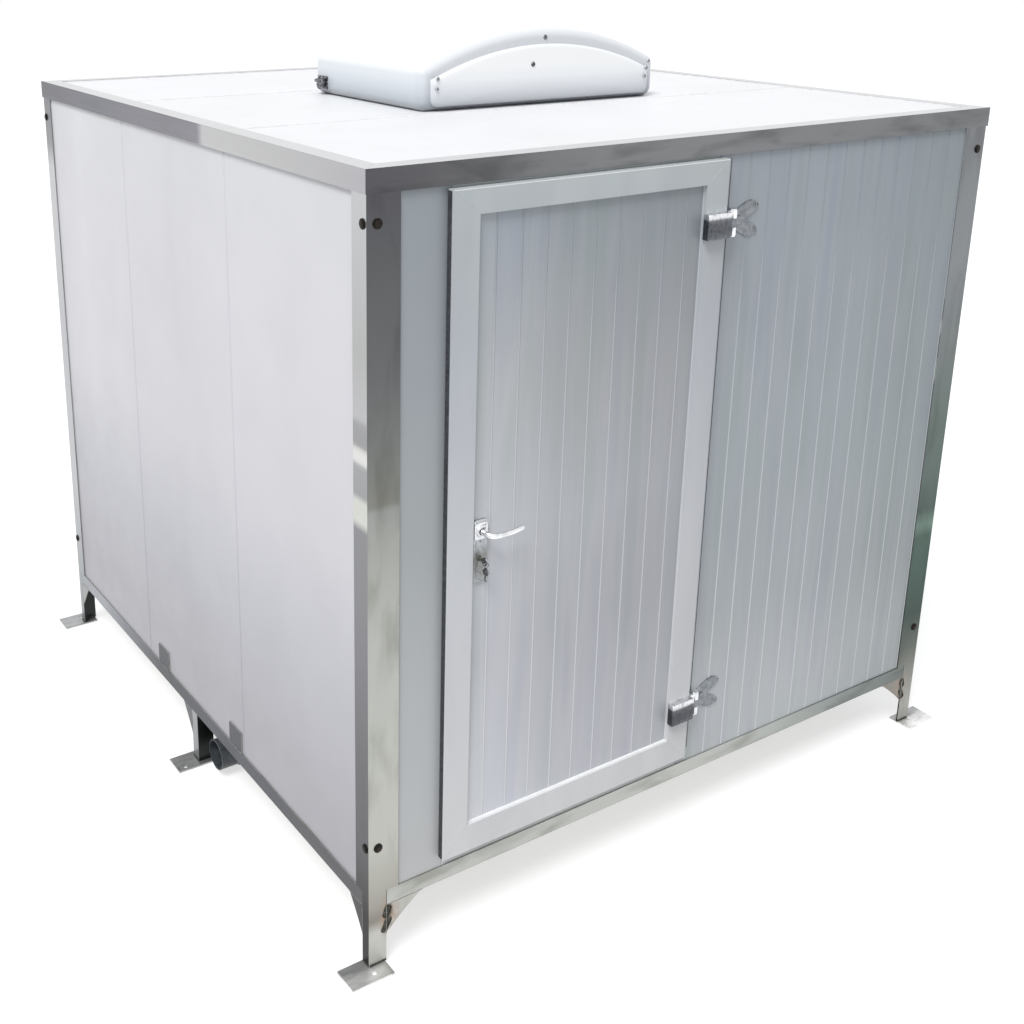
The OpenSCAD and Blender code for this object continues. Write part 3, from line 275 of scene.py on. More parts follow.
# Gussets, rails and rims: their fades, and the colours of faces that look sideways or up, are painted
# reflections, highlights and shade
GUSSET_SIDE = faces_to_the_side(
    ("Y", -EDGE, EDGE, ((0.0, "#48484a"), (0.3, "#4b4b4d"), (0.6, "#6b6d70"), (1.0, "#9a9c9e"))))
GUSSETS = make_finish(
    "stainless_gussets", "#a9a8a2", 1.0, 0.36,
    fades=[("X", -EDGE, EDGE, ((0.0, "#b7b7b1"), (0.5, "#a5a39c"), (1.0, "#85817a")))],
    relief=[(1.6, 3.0, 0.03, LYING)], edge=0.8, changes=[GUSSET_SIDE, weld_tint_and_hollow_shade], **ROLLED)
RAIL_SIDE = faces_to_the_side(("Y", -EDGE, EDGE, (
    (0.0, "#57575b"), (0.13, "#57575b"), (0.4, "#505359"), (0.62, "#4c4e52"), (0.77, "#777a7f"),
    (0.86, "#9a9da2"), (1.0, "#989ba0"))))
RAILS = make_finish(
    "stainless_rails", "#9a9da0", 1.0, 0.36,
    fades=[("X", -EDGE, EDGE, ((0.0, "#b6b7b2"), (0.5, "#b5b7b2"), (0.68, "#a9aca8"), (0.84, "#838a88"),
                               (1.0, "#676d6a")))],
    marks=[(70, 3.0, ((0.3, "#d8d8d5"), (0.52, "#ffffff")), (3.5, 3.5, 1))],
    gloss=(1.6, 0.3, 0.45, LYING), relief=[(1.6, 3.0, 0.03, LYING)], edge=1.2, changes=[RAIL_SIDE])
RIM_SIDE = faces_to_the_side(("Y", -EDGE, EDGE, (
    (0.0, "#b0afb3"), (0.1, "#b5b5b6"), (0.3, "#bcbcbc"), (0.385, "#bdbdbe"), (0.4, "#87868d"),
    (0.5, "#7f7e84"), (0.62, "#7e7d84"), (0.75, "#75757e"), (1.0, "#6c6c6f"))), "#d9dadb")
RIMS = make_finish(
    "stainless_roof_rims", "#8b8d92", 1.0, 0.36,
    fades=[("X", -EDGE, EDGE, ((0.0, "#5a5a5e"), (0.07, "#606063"), (0.2, "#757678"), (0.3, "#7f8081"),
                               (0.5, "#818284"), (0.75, "#7e7f81"), (1.0, "#7a7b7d")))],
    marks=[(60, 3.0, ((0.3, "#d5d5d3"), (0.5, "#fafafa"), (0.7, "#ffffff")), (4, 4, 1))],
    gloss=(1.6, 0.28, 0.45, LYING), relief=[(1.6, 3.0, 0.03, LYING)], edge=1.2, changes=[RIM_SIDE])
# Offcuts of the same plate under the legs, sheared and scraped, paler than the posts; the fade across paints
# a near-white reflection on their fronts, greyer behind
OFFCUT = make_finish(
    "stainless_sheared_plate", "#e8e8e7", 0.85, 0.45,
    fades=[("Y", -1262, -1200, ((0.0, "#fbfbfa"), (0.55, "#eeeeed"), (1.0, "#b9babb")))],
    marks=[(26, 4.0, ((0.3, "#dcdddd"), (0.5, "#f3f3f3"), (0.7, "#ffffff")), (2.5, 0.7, 1)),
           (60, 3.0, ((0.3, "#cfcecc"), (0.42, "#ffffff")))],
    gloss=(3.0, 0.36, 0.55, (30, 1, 1)), relief=[(2.0, 3.0, 0.04, (40, 1, 1))], edge=0.8)
# Near-black steel: the weld beads round the foot of each leg, and plates in the openings between leg and
# gusset as painted shade inside them
DARK_WELD_AND_HOLLOW_SHADE = make_finish("dark_weld_steel_and_painted_shade", "#4b4c47", 1.0, 0.6, relief=[(2.5, 3.0, 0.2)],
                    marks=[(7, 4.0, ((0.3, "#34342f"), (0.55, "#55564f"), (0.75, "#7c7d77")))])
# Filler metal of the seams, brushed after welding
SEAMS = make_finish("brushed_weld_metal", "#8b8b88", 1.0, 0.45, relief=[(1.6, 2.0, 0.05)],
                    marks=[(14, 3.0, ((0.3, "#6e6c68"), (0.55, "#8d8c88"), (0.75, "#aaaaa6")))])
# Hot-dip galvanised sections under the floor, with zinc crystals of about 12 mm
ZINC = make_finish("hot_dip_zinc", "#8d9194", 1.0, 0.5, cells=(12.5, ((0.0, "#7c8083"), (1.0, "#a3a7aa"))),
                   gloss=(12, 0.4, 0.6), relief=[(3.0, 2.0, 0.08)])
# Plain steel bolts, blackened, with brown rust in the corners
BOLT = make_finish("blackened_steel", "#262422", 0.7, 0.55, relief=[(1.5, 3.0, 0.12)], edge=0.6,
                   marks=[(5, 4.0, ((0.3, "#141312"), (0.55, "#272422"), (0.72, "#4a372a")))])
# Steel skin of the panels, coil coated: satin, with shallow waves from the foam and the finest orange peel
SHEET = {"relief": [(520, 1.0, 0.2, (1, 1, 1.8)), (2.4, 1.0, 0.02)], "edge": 1.0, "IOR": 1.5}
DUST = (320, 4.0, ((0.36, "#fbfbfb"), (0.6, "#ffffff")), (1, 1, 1.4))
BANDS = (75, 2.0, ((0.32, "#f4f8f6"), (0.5, "#ffffff"), (0.68, "#f6f6fb")), (1, 1, 14))
# The sides: the fades are painted shade, darker and bluer towards the bottom
SIDE_SHEET = make_finish(
    "coil_coated_side", "#e6e6ea", 0.0, 0.34,
    fades=[("Z", RAIL_LOW, TOP, ((0.0, "#b4b3b9"), (0.1, "#b5b4ba"), (0.3, "#cacad0"), (0.5, "#e1e0e5"),
                                 (0.75, "#e7e6eb"), (1.0, "#ebebee"))),
           ("Y", -EDGE, EDGE, ((0.0, "#fafafa"), (0.35, "#fafafa"), (0.5, "#f4f4f4"), (0.85, "#fafafa"),
                               (1.0, "#efefef")))],
    marks=[DUST], gloss=(90, 0.28, 0.42), **SHEET)
# The rear, with a film of dirt splashed up from the ground
REAR_SHEET = make_finish(
    "coil_coated_rear", "#e0e1e5", 0.0, 0.34, fades=[("Z", 250, 430, ((0.0, "#e9e6e0"), (1.0, "#ffffff")))],
    marks=[(420, 3.0, ((0.34, "#dfe0e4"), (0.62, "#e2e3e7")), (1, 1, 2.5))], gloss=(90, 0.28, 0.42), **SHEET)
# The front, the same white coating as the sides: its greyer colour is painted shade of a face turned from the
# light, darker towards the top
FRONT_SHEET = make_finish("coil_coated_front", "#b8bdc2", 0.0, 0.36, fades=[("Z", RAIL_LOW, TOP, (
    (0.0, "#cfd0d0"), (0.1, "#cccecf"), (0.28, "#c6c9ca"), (0.5, "#b8bdbe"), (0.75, "#adb3b9"),
    (1.0, "#a5adb2")))],
    marks=[DUST], gloss=(90, 0.3, 0.42), **SHEET)
# The ribbed panel right of the door: its greyer, cooler colour and its fades are painted shade, darker
# towards the top and the right
RIBBED_SHEET = make_finish(
    "coil_coated_ribbed", "#b0b7bc", 0.0, 0.36,
    fades=[("Z", RAIL_LOW, TOP, ((0.0, "#c6cacb"), (0.1, "#c5c8ca"), (0.28, "#b5babd"), (0.5, "#afb6ba"),
                                 (0.75, "#adb3b9"), (1.0, "#a5adb4"))),
           ("X", 0, WALL, ((0.0, "#ffffff"), (0.45, "#fcfdfe"), (0.8, "#e8ebea"), (1.0, "#dfe3e2")))],
    marks=[DUST, BANDS], gloss=(90, 0.3, 0.42), **SHEET)
# The door's infill: its grey colour and fades are painted shade, darker towards the top and the right
DOOR_SHEET = make_finish(
    "coil_coated_infill", "#b4bac0", 0.0, 0.36,
    fades=[("Z", INFILL_LOW, INFILL_HIGH, ((0.0, "#e5e6eb"), (0.3, "#d4d5da"), (0.5, "#d6d8dd"),
                                           (0.72, "#cacccf"), (0.93, "#b8bec4"), (1.0, "#b3bac0"))),
           ("X", INFILL_LEFT, INFILL_RIGHT, ((0.0, "#ffffff"), (0.14, "#ffffff"), (0.36, "#ebebeb"),
                                             (0.5, "#ebebeb"), (0.74, "#dfdfe0"), (1.0, "#d9d9da")))],
    marks=[DUST, BANDS], gloss=(90, 0.3, 0.42), **SHEET)
# Rounded crowns of the fine ribs: the same coating, coloured lighter as a painted highlight, darker towards
# the top of the door
RIB_CROWN = make_finish(
    "coil_coated_rib_crown", "#dfe1e4", 0.0, 0.3,
    fades=[("Z", RAIL_LOW, TOP, ((0.0, "#e6e7e9"), (0.3, "#e2e3e6"), (0.6, "#d3d6da"), (0.76, "#c4c9ce"),
                                 (0.86, "#aab0b5"), (1.0, "#a4aab0"))),
           ("X", -900, 1200, ((0.0, "#fafafa"), (0.3, "#efeff1"), (0.42, "#ebedee"), (0.46, "#f4f6f7"),
                              (0.7, "#eaedef"), (1.0, "#dcdfde")))],
    relief=[(2.4, 1.0, 0.02)], IOR=1.5)
# Roof skin in the same coating, white, with a faint film where rain has dried
ROOF_SHEET = make_finish("coil_coated_roof", "#eeeef0", 0.0, 0.45, relief=[(520, 1.0, 0.7)], edge=1.0,
                         IOR=1.5, marks=[(420, 3.0, ((0.35, "#eaebec"), (0.6, "#efeff1")))])
# Aluminium door sections, powder coated light grey over long die lines; the fades are painted shade, darker
# towards the top and the right
PROFILE = make_finish(
    "coated_aluminium_section", "#ccd1d5", 0.0, 0.33,
    fades=[("Z", LEAF_LOW, LEAF_HIGH, ((0.0, "#e6e7e7"), (0.25, "#e0e1e4"), (0.5, "#dadce0"),
                                       (0.75, "#ccd0d6"), (0.93, "#c6cbcf"), (1.0, "#cbd2d3"))),
           ("X", LEAF_LEFT, LEAF_RIGHT, ((0.0, "#ffffff"), (0.7, "#fbfbfb"), (1.0, "#f1f1f1")))],
    marks=[(140, 3.0, ((0.36, "#f8f8f9"), (0.6, "#ffffff")), (1, 1, 4.0))],
    gloss=(2.2, 0.28, 0.4, (1, 1, 200)), relief=[(2.2, 2.0, 0.03, (1, 1, 200))], edge=1.6, IOR=1.5)
# The sections' rounded arrises and inner beads, coloured near white as a painted highlight
ARRIS = make_finish("coated_aluminium_arris", "#f7f7f8", 0.0, 0.22, IOR=1.5, Coat_Weight=0.4,
                    marks=[(40, 3.0, ((0.3, "#eff0f1"), (0.6, "#fbfbfb")))])
# Black sealing rubber, dusty on its outer lip
RUBBER = make_finish("sealing_rubber", "#2b2c2e", 0.0, 0.62, relief=[(1.2, 2.0, 0.05)], IOR=1.5,
                     marks=[(12, 4.0, ((0.35, "#2a2c31"), (0.7, "#43464b")))])
# Zinc castings, polished and chromed, a little dulled by fingers
BRIGHT = make_finish("chromed_zinc_casting", "#e9eaec", 1.0, 0.2, gloss=(14, 0.14, 0.3),
                     relief=[(24, 1.0, 0.03)], edge=0.8,
                     marks=[(22, 3.0, ((0.3, "#d3d5d8"), (0.5, "#e9eaec"), (0.7, "#f8f9fa")))])
# The same casting on the leaf: its fade paints the reflection of the dark ground in the lower part of the
# front, and a highlight on the top
HINGE_CAST = make_finish("chromed_hinge_casting", "#c9cbcf", 1.0, 0.24, fades=[("Z", 400, 2120, (
    (0.0, "#b9bbbf"), (0.028, "#5e5f63"), (0.045, "#525358"), (0.059, "#696b6f"), (0.0635, "#e8e9ec"),
    (0.075, "#f3f4f6"), (0.1, "#d5d7da"), (0.95, "#c6c8cc"), (0.956, "#6c6f74"), (0.97, "#585a5f"),
    (0.988, "#6b6d72"), (0.992, "#e4e6e9"), (1.0, "#f3f4f6")))],
    marks=[(13, 3.0, ((0.3, "#cfcfd1"), (0.55, "#ffffff")))], gloss=(10, 0.18, 0.34),
    relief=[(24, 1.0, 0.03)], edge=0.8)
# Wall leaves, the same zinc left dull
DULL_CAST = make_finish("dull_zinc_casting", "#9fa3a8", 1.0, 0.42, gloss=(8, 0.34, 0.52),
                        relief=[(6, 2.0, 0.05)], edge=0.8,
                        marks=[(16, 3.0, ((0.3, "#73777c"), (0.5, "#868a8f"), (0.72, "#9a9ea3")))])
# Handle plates of brushed steel, with the lines upright; the fade paints shade round the lock cylinder and is
# lighter towards the top
PLATE = make_finish(
    "brushed_steel_plate", "#b4b7bb", 1.0, 0.34,
    fades=[("Z", PLATE_LOW, PLATE_HIGH, ((0.0, "#a2a4a6"), (0.22, "#8b8d8c"), (0.45, "#8f9190"),
                                         (0.6, "#b2b4b8"), (1.0, "#c4c7cb")))],
    marks=[(9, 3.0, ((0.3, "#c9cac8"), (0.55, "#ffffff")), (1, 1, 1.6))],
    gloss=(0.8, 0.28, 0.44, (1, 1, 40)), relief=[(0.8, 2.0, 0.02, (1, 1, 40))], edge=0.6)
# Case, bolts and strike plate, brushed along the lock's edge
LOCK_STEEL = make_finish("satin_lock_steel", "#a8abaf", 1.0, 0.32, gloss=(0.7, 0.26, 0.42, (1, 8, 1)),
                         relief=[(0.7, 2.0, 0.02, (1, 8, 1))], edge=0.5,
                         marks=[(8, 3.0, ((0.35, "#9fa2a6"), (0.6, "#b0b3b7")))])
# Keys worn in a pocket, dark in the cuts and light on the edges
KEY_STEEL = make_finish("worn_key_steel", "#74767a", 1.0, 0.36, relief=[(1.0, 2.0, 0.03)], edge=0.4,
                        marks=[(6, 3.0, ((0.32, "#4e5053"), (0.5, "#7d7f82"), (0.68, "#c9cbcd")))])
# The cylinder, brass showing yellowish through thin nickel
LOCK_BRASS = make_finish("nickelled_brass", "#8f8973", 1.0, 0.34, gloss=(0.7, 0.28, 0.44, (1, 8, 1)),
                         relief=[(0.7, 2.0, 0.02, (1, 8, 1))], edge=0.4,
                         marks=[(7, 3.0, ((0.35, "#6b6a63"), (0.6, "#8e8b80")))])
# Glass-fibre mouldings with a white gelcoat: glossy, faint print of the mat below; the fades are painted
# shade, grey low down where the edges roll under, at the crease below the shoulder and on the left side
GELCOAT = make_finish(
    "white_gelcoat", "#f4f5f7", 0.0, 0.26,
    fades=[("Z", ROOF, 2600, ((0.0, "#94979c"), (0.05, "#abaeb3"), (0.12, "#c8ccd0"), (0.22, "#dfe2e6"),
                              (0.36, "#f2f4f6"), (0.5, "#f9fafa"))),
           ("Y", -372, -310, ((0.0, "#ffffff"), (0.2, "#ffffff"), (0.3, "#f4f5f7"), (0.355, "#dcdee2"),
                              (0.42, "#e8eaed"), (0.7, "#f4f5f7"), (1.0, "#ffffff"))),
           ("X", -489, -459, ((0.0, "#e9edf0"), (0.25, "#f5f7f8"), (1.0, "#ffffff")))],
    relief=[(5.0, 2.0, 0.03)], IOR=1.52, Coat_Weight=0.35, Coat_Roughness=0.12)
# Moulded white plastic, faintly yellowed
GRILLE = make_finish("white_grille_plastic", "#f1f1ef", 0.0, 0.4, relief=[(1.5, 2.0, 0.04)], edge=1.0,
                     IOR=1.5, marks=[(45, 3.0, ((0.32, "#eaeae8"), (0.6, "#f3f3f1")))])
# The hood's catch and screws, out in the rain: blotched grey
CATCH = make_finish("weathered_catch_steel", "#77797c", 1.0, 0.4, relief=[(2.0, 2.0, 0.06)], edge=0.6,
                    marks=[(11, 4.0, ((0.32, "#34363a"), (0.5, "#6d6f73"), (0.68, "#b9bbbf")))])
PALE_SCREW = make_finish("bright_zinc_screw", "#b9bbbe", 1.0, 0.36, relief=[(1.0, 2.0, 0.03)],
                         marks=[(5, 3.0, ((0.32, "#96989c"), (0.6, "#c4c6c9")))])
CURB = make_finish("coated_curb_sheet", "#d9dadc", 0.0, 0.4, relief=[(60, 2.0, 0.4)], edge=1.5, IOR=1.5,
                   marks=[(60, 3.0, ((0.32, "#cfd0d2"), (0.6, "#dcdddf")))])
# The fan: a cast motor in grey enamel, with moulded black blades
MOTOR = make_finish("motor_enamel", "#5d6165", 0.0, 0.45, relief=[(3.0, 2.0, 0.08)], edge=2.0, IOR=1.5,
                    marks=[(30, 3.0, ((0.32, "#505458"), (0.6, "#606468")))])
FAN = make_finish("black_polyamide", "#2f3336", 0.0, 0.5, relief=[(1.0, 2.0, 0.04)], edge=1.0, IOR=1.5,
                  marks=[(30, 3.0, ((0.32, "#26292c"), (0.6, "#33373a")))])
# Vitreous china: thick clear glaze over slip-cast forms
CHINA = make_finish("glazed_china", "#f3f3f1", 0.0, 0.08, relief=[(30, 1.0, 0.1)], edge=1.5,
                    IOR=1.52, Coat_Weight=0.6, Coat_Roughness=0.03,
                    marks=[(60, 2.0, ((0.3, "#f1f1ef"), (0.65, "#f5f5f3")))])
SEAT = make_finish("white_thermoset", "#f6f6f5", 0.0, 0.16, relief=[(40, 1.0, 0.08)], edge=4.0, IOR=1.5,
                   marks=[(60, 2.0, ((0.3, "#f5f5f4"), (0.65, "#f7f7f6")))])
# Drain pipe, with faint lines along it from extrusion
PIPE = make_finish("grey_polypropylene", "#474c50", 0.0, 0.38, relief=[(6.0, 2.0, 0.06, (30, 1, 1))],
                   edge=0.8, IOR=1.5, marks=[(24, 3.0, ((0.3, "#32373b"), (0.6, "#484d51")))])
OPAL = make_finish("opal_acrylic", "#f2f2e8", 0.0, 0.3, relief=[(1.8, 1.0, 0.06)], IOR=1.49,
                   Subsurface_Weight=0.4, Subsurface_Scale=0.02,
                   marks=[(60, 1.0, ((0.3, "#eeeee2"), (0.65, "#f6f6ee")))])
# Phenolic plywood under the vinyl
BOARD = make_finish("phenolic_board", "#b9a88a", 0.0, 0.6, relief=[(2.0, 3.0, 0.1, (10, 1, 1))], IOR=1.5,
                    marks=[(6, 4.0, ((0.32, "#94805f"), (0.65, "#bfae90")), (14, 1.6, 1))])
# Safety vinyl with pale and dark chips, really 2 mm across, drawn 4 mm so that they show
VINYL = make_finish("safety_vinyl", "#7f8a90", 0.0, 0.55, relief=[(4.0, 2.0, 0.12)], IOR=1.5,
                    cells=(4, ((0.0, "#5f696f"), (0.18, "#7d888e"), (0.8, "#838e94"), (0.95, "#aab2b6"))))
# Beads of sealant on the roof, the grey seal beside the door, whose dark grey is the painted shadow of the
# gap between leaf and wall, and the filler in the panels' joints
SEALANT = make_finish("white_silicone", "#e9eaea", 0.0, 0.35, relief=[(4.0, 2.0, 0.08)], IOR=1.5,
                      marks=[(30, 2.0, ((0.3, "#dfe0e1"), (0.6, "#f0f0f0")))])
GREY_SEAL_AND_GAP_SHADOW = make_finish("grey_seal_and_painted_gap_shadow", "#63686c", 0.0, 0.6, relief=[(3.0, 2.0, 0.08)], IOR=1.5,
                        marks=[(40, 3.0, ((0.32, "#585d61"), (0.62, "#6f7478")), (1, 1, 4))])
# Its fade is painted shade, darker towards the bottom like the sides
JOINT = make_finish("panel_joint_filler", "#cdced3", 0.0, 0.5, relief=[(3.0, 2.0, 0.05)], IOR=1.5,
                    fades=[("Z", RAIL_LOW, TOP, ((0.0, "#b3b3b9"), (0.5, "#cbcbd1"), (1.0, "#d6d6db")))])

FINISH_OF = {
    POSTS: "corner_post_front_left",
    FAR_POST: "corner_post_front_right",
    REAR_POSTS: "corner_post_rear_left corner_post_rear_right mid_legs",
    GUSSETS: "gussets",
    RAILS: "bottom_rails rail_clips",
    RIMS: "roof_rims",
    OFFCUT: "foot_plates",
    ZINC: "cross_members pipe_hangers fan_bracket",
    BOLT: "post_bolts",
    BOARD: "floor_panel",
    VINYL: "floor_covering",
    SIDE_SHEET: "left_wall_panels right_wall_panels",
    REAR_SHEET: "rear_wall_panels",
    FRONT_SHEET: "front_strip_panel",
    RIBBED_SHEET: "front_ribbed_panel",
    ROOF_SHEET: "roof_panels",
    PROFILE: "door_frame_profile door_jamb",
    DOOR_SHEET: "door_infill",
    RUBBER: "door_gasket",
    HINGE_CAST: "hinge_door_leaves hinge_pins",
    DULL_CAST: "hinge_wall_leaves",
    PLATE: "handle_plates",
    BRIGHT: "lever_outer lever_inner tap_body tap_button flush_button wc_hinge_pin basin_trap",
    LOCK_STEEL: "strike_plate lock_case spindle latch_bolt dead_bolt",
    KEY_STEEL: "key",
    LOCK_BRASS: "lock_cylinder cylinder_plug",
    GELCOAT: "hood_shell hood_front_panel",
    GRILLE: "ceiling_grille",
    CATCH: "hood_catch hood_screws",
    CURB: "roof_curb",
    MOTOR: "fan_motor",
    FAN: "fan_impeller",
    CHINA: "wc_pan wc_cistern wash_basin",
    SEAT: "wc_seat wc_lid",
    PIPE: "soil_pipe",
    OPAL: "ceiling_light",
}
for finish, names in FINISH_OF.items():
    for name in names.split():
        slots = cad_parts[name].data.materials
        if not slots:
            slots.append(finish)
        for i in range(len(slots)):
            slots[i] = finish


# Making pieces

def metres(point):
    return Vector(point) / 1000


def show_mesh(name, mesh, body, slot, stands_for, crease=35.0, wall=0.0):
    """Puts a mesh in the scene at the origin, on its body, with a wall's thickness where it is a shell."""
    mesh.shade_smooth()
    mesh.set_sharp_from_angle(angle=math.radians(crease))
    piece = bpy.data.objects.new(name, mesh)
    bpy.context.scene.collection.objects.link(piece)
    if wall:
        skin = piece.modifiers.new("wall", "SOLIDIFY")
        skin.thickness = wall / 1000
        skin.offset = -1.0
    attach(piece, body)
    if stands_for:
        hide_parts(*stands_for)


def make_piece(name, bm, finish, body, slot, *stands_for, **shading):
    """Closes the mesh, turns its faces outwards and shows it."""
    bmesh.ops.remove_doubles(bm, verts=bm.verts, dist=1e-6)
    bmesh.ops.recalc_face_normals(bm, faces=bm.faces)
    mesh = bpy.data.meshes.new(name)
    bm.to_mesh(mesh)
    bm.free()
    mesh.materials.append(finish)
    show_mesh(name, mesh, body, slot, stands_for, **shading)


def arc(across, up, radius, first=0.0, last=360.0, steps=40):
    """Points on an arc, both ends included; angles in degrees."""
    turns = [math.radians(first + (last - first) * i / steps) for i in range(steps + 1)]
    return [(across + radius * math.cos(turn), up + radius * math.sin(turn)) for turn in turns]


def circle(radius, steps):
    return arc(0, 0, radius, steps=steps)[:-1]


def rounded_outline(left, right, low, high, corner, steps=6):
    """A rectangle with round corners."""
    return (arc(right - corner, low + corner, corner, -90, 0, steps)
            + arc(right - corner, high - corner, corner, 0, 90, steps)
            + arc(left + corner, high - corner, corner, 90, 180, steps)
            + arc(left + corner, low + corner, corner, 180, 270, steps))


def facing(y, out, x=0.0, z=0.0):
    """Places a form on an upright plane at y, its own up looking forward (-1) or back (1)."""
    return lambda u, v, w: (x + u, y + out * w, z + v)


def standing(x, y, z):
    """Places an upright form at a point."""
    return lambda u, v, w: (x + u, y + v, z + w)


def add_rings(bm, rings, shut=(False, False), gap=None):
    """Skins a row of rings of points; a ring of one point closes an end, or a flat face does.

    gap is the row and place of a strip that stays open.
    """
    made = [[bm.verts.new(metres(p)) for p in ring] for ring in rings]
    for row, (first, second) in enumerate(zip(made, made[1:])):
        count = max(len(first), len(second))
        for i in range(count):
            j = (i + 1) % count
            corners = [first[i % len(first)], first[j % len(first)], second[j % len(second)],
                       second[i % len(second)]]
            corners = list(dict.fromkeys(corners))
            if len(corners) > 2 and (row, i) != gap:
                bm.faces.new(corners)
    for ring, flat in zip((made[0], made[-1]), shut):
        if flat:
            bm.faces.new(ring)


def add_block(bm, corner, other, ease, steps=2):
    """A block between two opposite corners with its edges eased."""
    low, high = metres(tuple(map(min, corner, other))), metres(tuple(map(max, corner, other)))
    made = bmesh.ops.create_cube(bm, size=1.0)
    bmesh.ops.scale(bm, vec=high - low, verts=made["verts"])
    bmesh.ops.translate(bm, vec=(low + high) / 2, verts=made["verts"])
    edges = list({e for v in made["verts"] for e in v.link_edges})
    bmesh.ops.bevel(bm, geom=edges, offset=ease / 1000, segments=steps, profile=0.5, affect="EDGES")


def add_turned(bm, profile, place, steps=40):
    """A turned form from (radius, height) pairs; place takes across, up and height to a point."""
    add_rings(bm, [[place(u, v, height) for u, v in (circle(radius, steps) if radius else [(0, 0)])]
                   for radius, height in profile])


def add_plate(bm, outline, place, thickness, ease):
    """An outline given thickness, its outer edge eased; place takes across, up and out to a point."""
    count = len(outline)
    centre = (sum(p[0] for p in outline) / count, sum(p[1] for p in outline) / count)

    def ring(inset, height):
        out = []
        for i, (u, v) in enumerate(outline):
            before, after = outline[i - 1], outline[(i + 1) % count]
            du, dv = after[0] - before[0], after[1] - before[1]
            size = math.hypot(du, dv) or 1.0
            inwards = (-dv / size, du / size)
            if (centre[0] - u) * inwards[0] + (centre[1] - v) * inwards[1] < 0:
                inwards = (-inwards[0], -inwards[1])
            out.append(place(u + inwards[0] * inset, v + inwards[1] * inset, height))
        return out

    add_rings(bm, [ring(0, 0), ring(0, thickness - ease), ring(ease * 0.3, thickness - ease * 0.3),
                   ring(ease, thickness)], (True, True))


def add_swept(bm, path, section, scales=None):
    """A section carried along a path of points, turned with it as little as possible."""
    points = [Vector(p) for p in path]
    rings = []
    side = None
    for i, p in enumerate(points):
        ahead = (points[min(i + 1, len(points) - 1)] - points[max(i - 1, 0)]).normalized()
        if side is None:
            upright = abs(ahead.z) >= 0.9
            side = ahead.orthogonal().normalized() if upright else Vector((0, 0, 1)).cross(ahead).normalized()
        side = (side - ahead * side.dot(ahead)).normalized()
        up = ahead.cross(side)
        wide, tall = scales[i] if scales else (1.0, 1.0)
        rings.append([tuple(p + side * u * wide + up * v * tall) for u, v in section])
    add_rings(bm, rings, (True, True))


def smooth_path(points, per_span=8):
    """A rounded path through the points."""
    points = [Vector(p) for p in points]
    out = []
    for i in range(len(points) - 1):
        a, b, c = points[max(i - 1, 0)], points[i], points[i + 1]
        d = points[min(i + 2, len(points) - 1)]
        for k in range(per_span):
            t = k / per_span
            out.append(0.5 * ((2 * b) + (c - a) * t + (2 * a - 5 * b + 4 * c - d) * t * t
                              + (3 * b - a - 3 * c + d) * t ** 3))
    return out + [points[-1]]


# Forms that repeat, or follow a path, as node trees

def start_form(name, sizes):
    """A node tree with a geometry input and named sizes; a size without a usual value is a finish."""
    tree = bpy.data.node_groups.new(name, "GeometryNodeTree")
    tree.interface.new_socket("Geometry", in_out="INPUT", socket_type="NodeSocketGeometry")
    sockets = {}
    for label, value in sizes.items():
        kind = "NodeSocketMaterial" if value is None else "NodeSocketFloat"
        socket = tree.interface.new_socket(label, in_out="INPUT", socket_type=kind)
        if value is not None:
            socket.default_value = value
        sockets[label] = socket.identifier
    tree.interface.new_socket("Geometry", in_out="OUTPUT", socket_type="NodeSocketGeometry")
    return tree, sockets, add_node(tree, "NodeGroupInput").outputs


def end_form(tree, geometry, finish=None):
    if finish:
        geometry = add_node(tree, "GeometryNodeSetMaterial", None, {"Geometry": geometry, "Material": finish})
    real = add_node(tree, "GeometryNodeRealizeInstances", None, {"Geometry": geometry})
    add_node(tree, "NodeGroupOutput", None, {0: real})


def set_on_places(tree, given, form):
    """Puts one form on every place, turned by the place's own turn."""
    turn = add_node(tree, "GeometryNodeInputNamedAttribute", {"data_type": "FLOAT_VECTOR", "Name": "turn"})
    turned = add_node(tree, "FunctionNodeEulerToRotation", None, {0: turn})
    spots = add_node(tree, "GeometryNodeMeshToPoints", None, {"Mesh": given["Geometry"]})
    return add_node(tree, "GeometryNodeInstanceOnPoints", None,
                    {"Points": spots, "Instance": form, "Rotation": turned})


def raised(tree, geometry, height, share=1.0):
    """The geometry moved up by a share of a height."""
    lift = add_node(tree, "ShaderNodeVectorMath", {"operation": "MULTIPLY", 1: (0, 0, share)}, {0: height})
    return add_node(tree, "GeometryNodeTransform", None, {"Geometry": geometry, "Translation": lift})


def hex_heads():
    """Hexagon head on a round washer, with a turned chamfer on top."""
    tree, sockets, given = start_form("hex_heads", {"Head radius": 0.011, "Head height": 0.004,
                                                    "Washer radius": 0.014, "Washer height": 0.002,
                                                    "Finish": None})
    joined = add_node(tree, "GeometryNodeJoinGeometry")
    for part, sides in (("Washer", 32), ("Head", 6)):
        height = given[part + " height"]
        disc = add_node(tree, "GeometryNodeMeshCylinder", {"Vertices": sides},
                        {"Radius": given[part + " radius"], "Depth": height})
        join(tree, raised(tree, disc, height, 0.5), joined.inputs[0])
    broad, narrow = [add_node(tree, "ShaderNodeMath", {"operation": "MULTIPLY", 1: share},
                              {0: given["Head radius"]}) for share in (0.86, 0.72)]
    crown = add_node(tree, "GeometryNodeMeshCone", {"Vertices": 24, "Depth": 0.0009},
                     {"Radius Bottom": broad, "Radius Top": narrow})
    join(tree, raised(tree, crown, given["Head height"]), joined.inputs[0])
    end_form(tree, set_on_places(tree, given, joined), given["Finish"])
    return tree, sockets


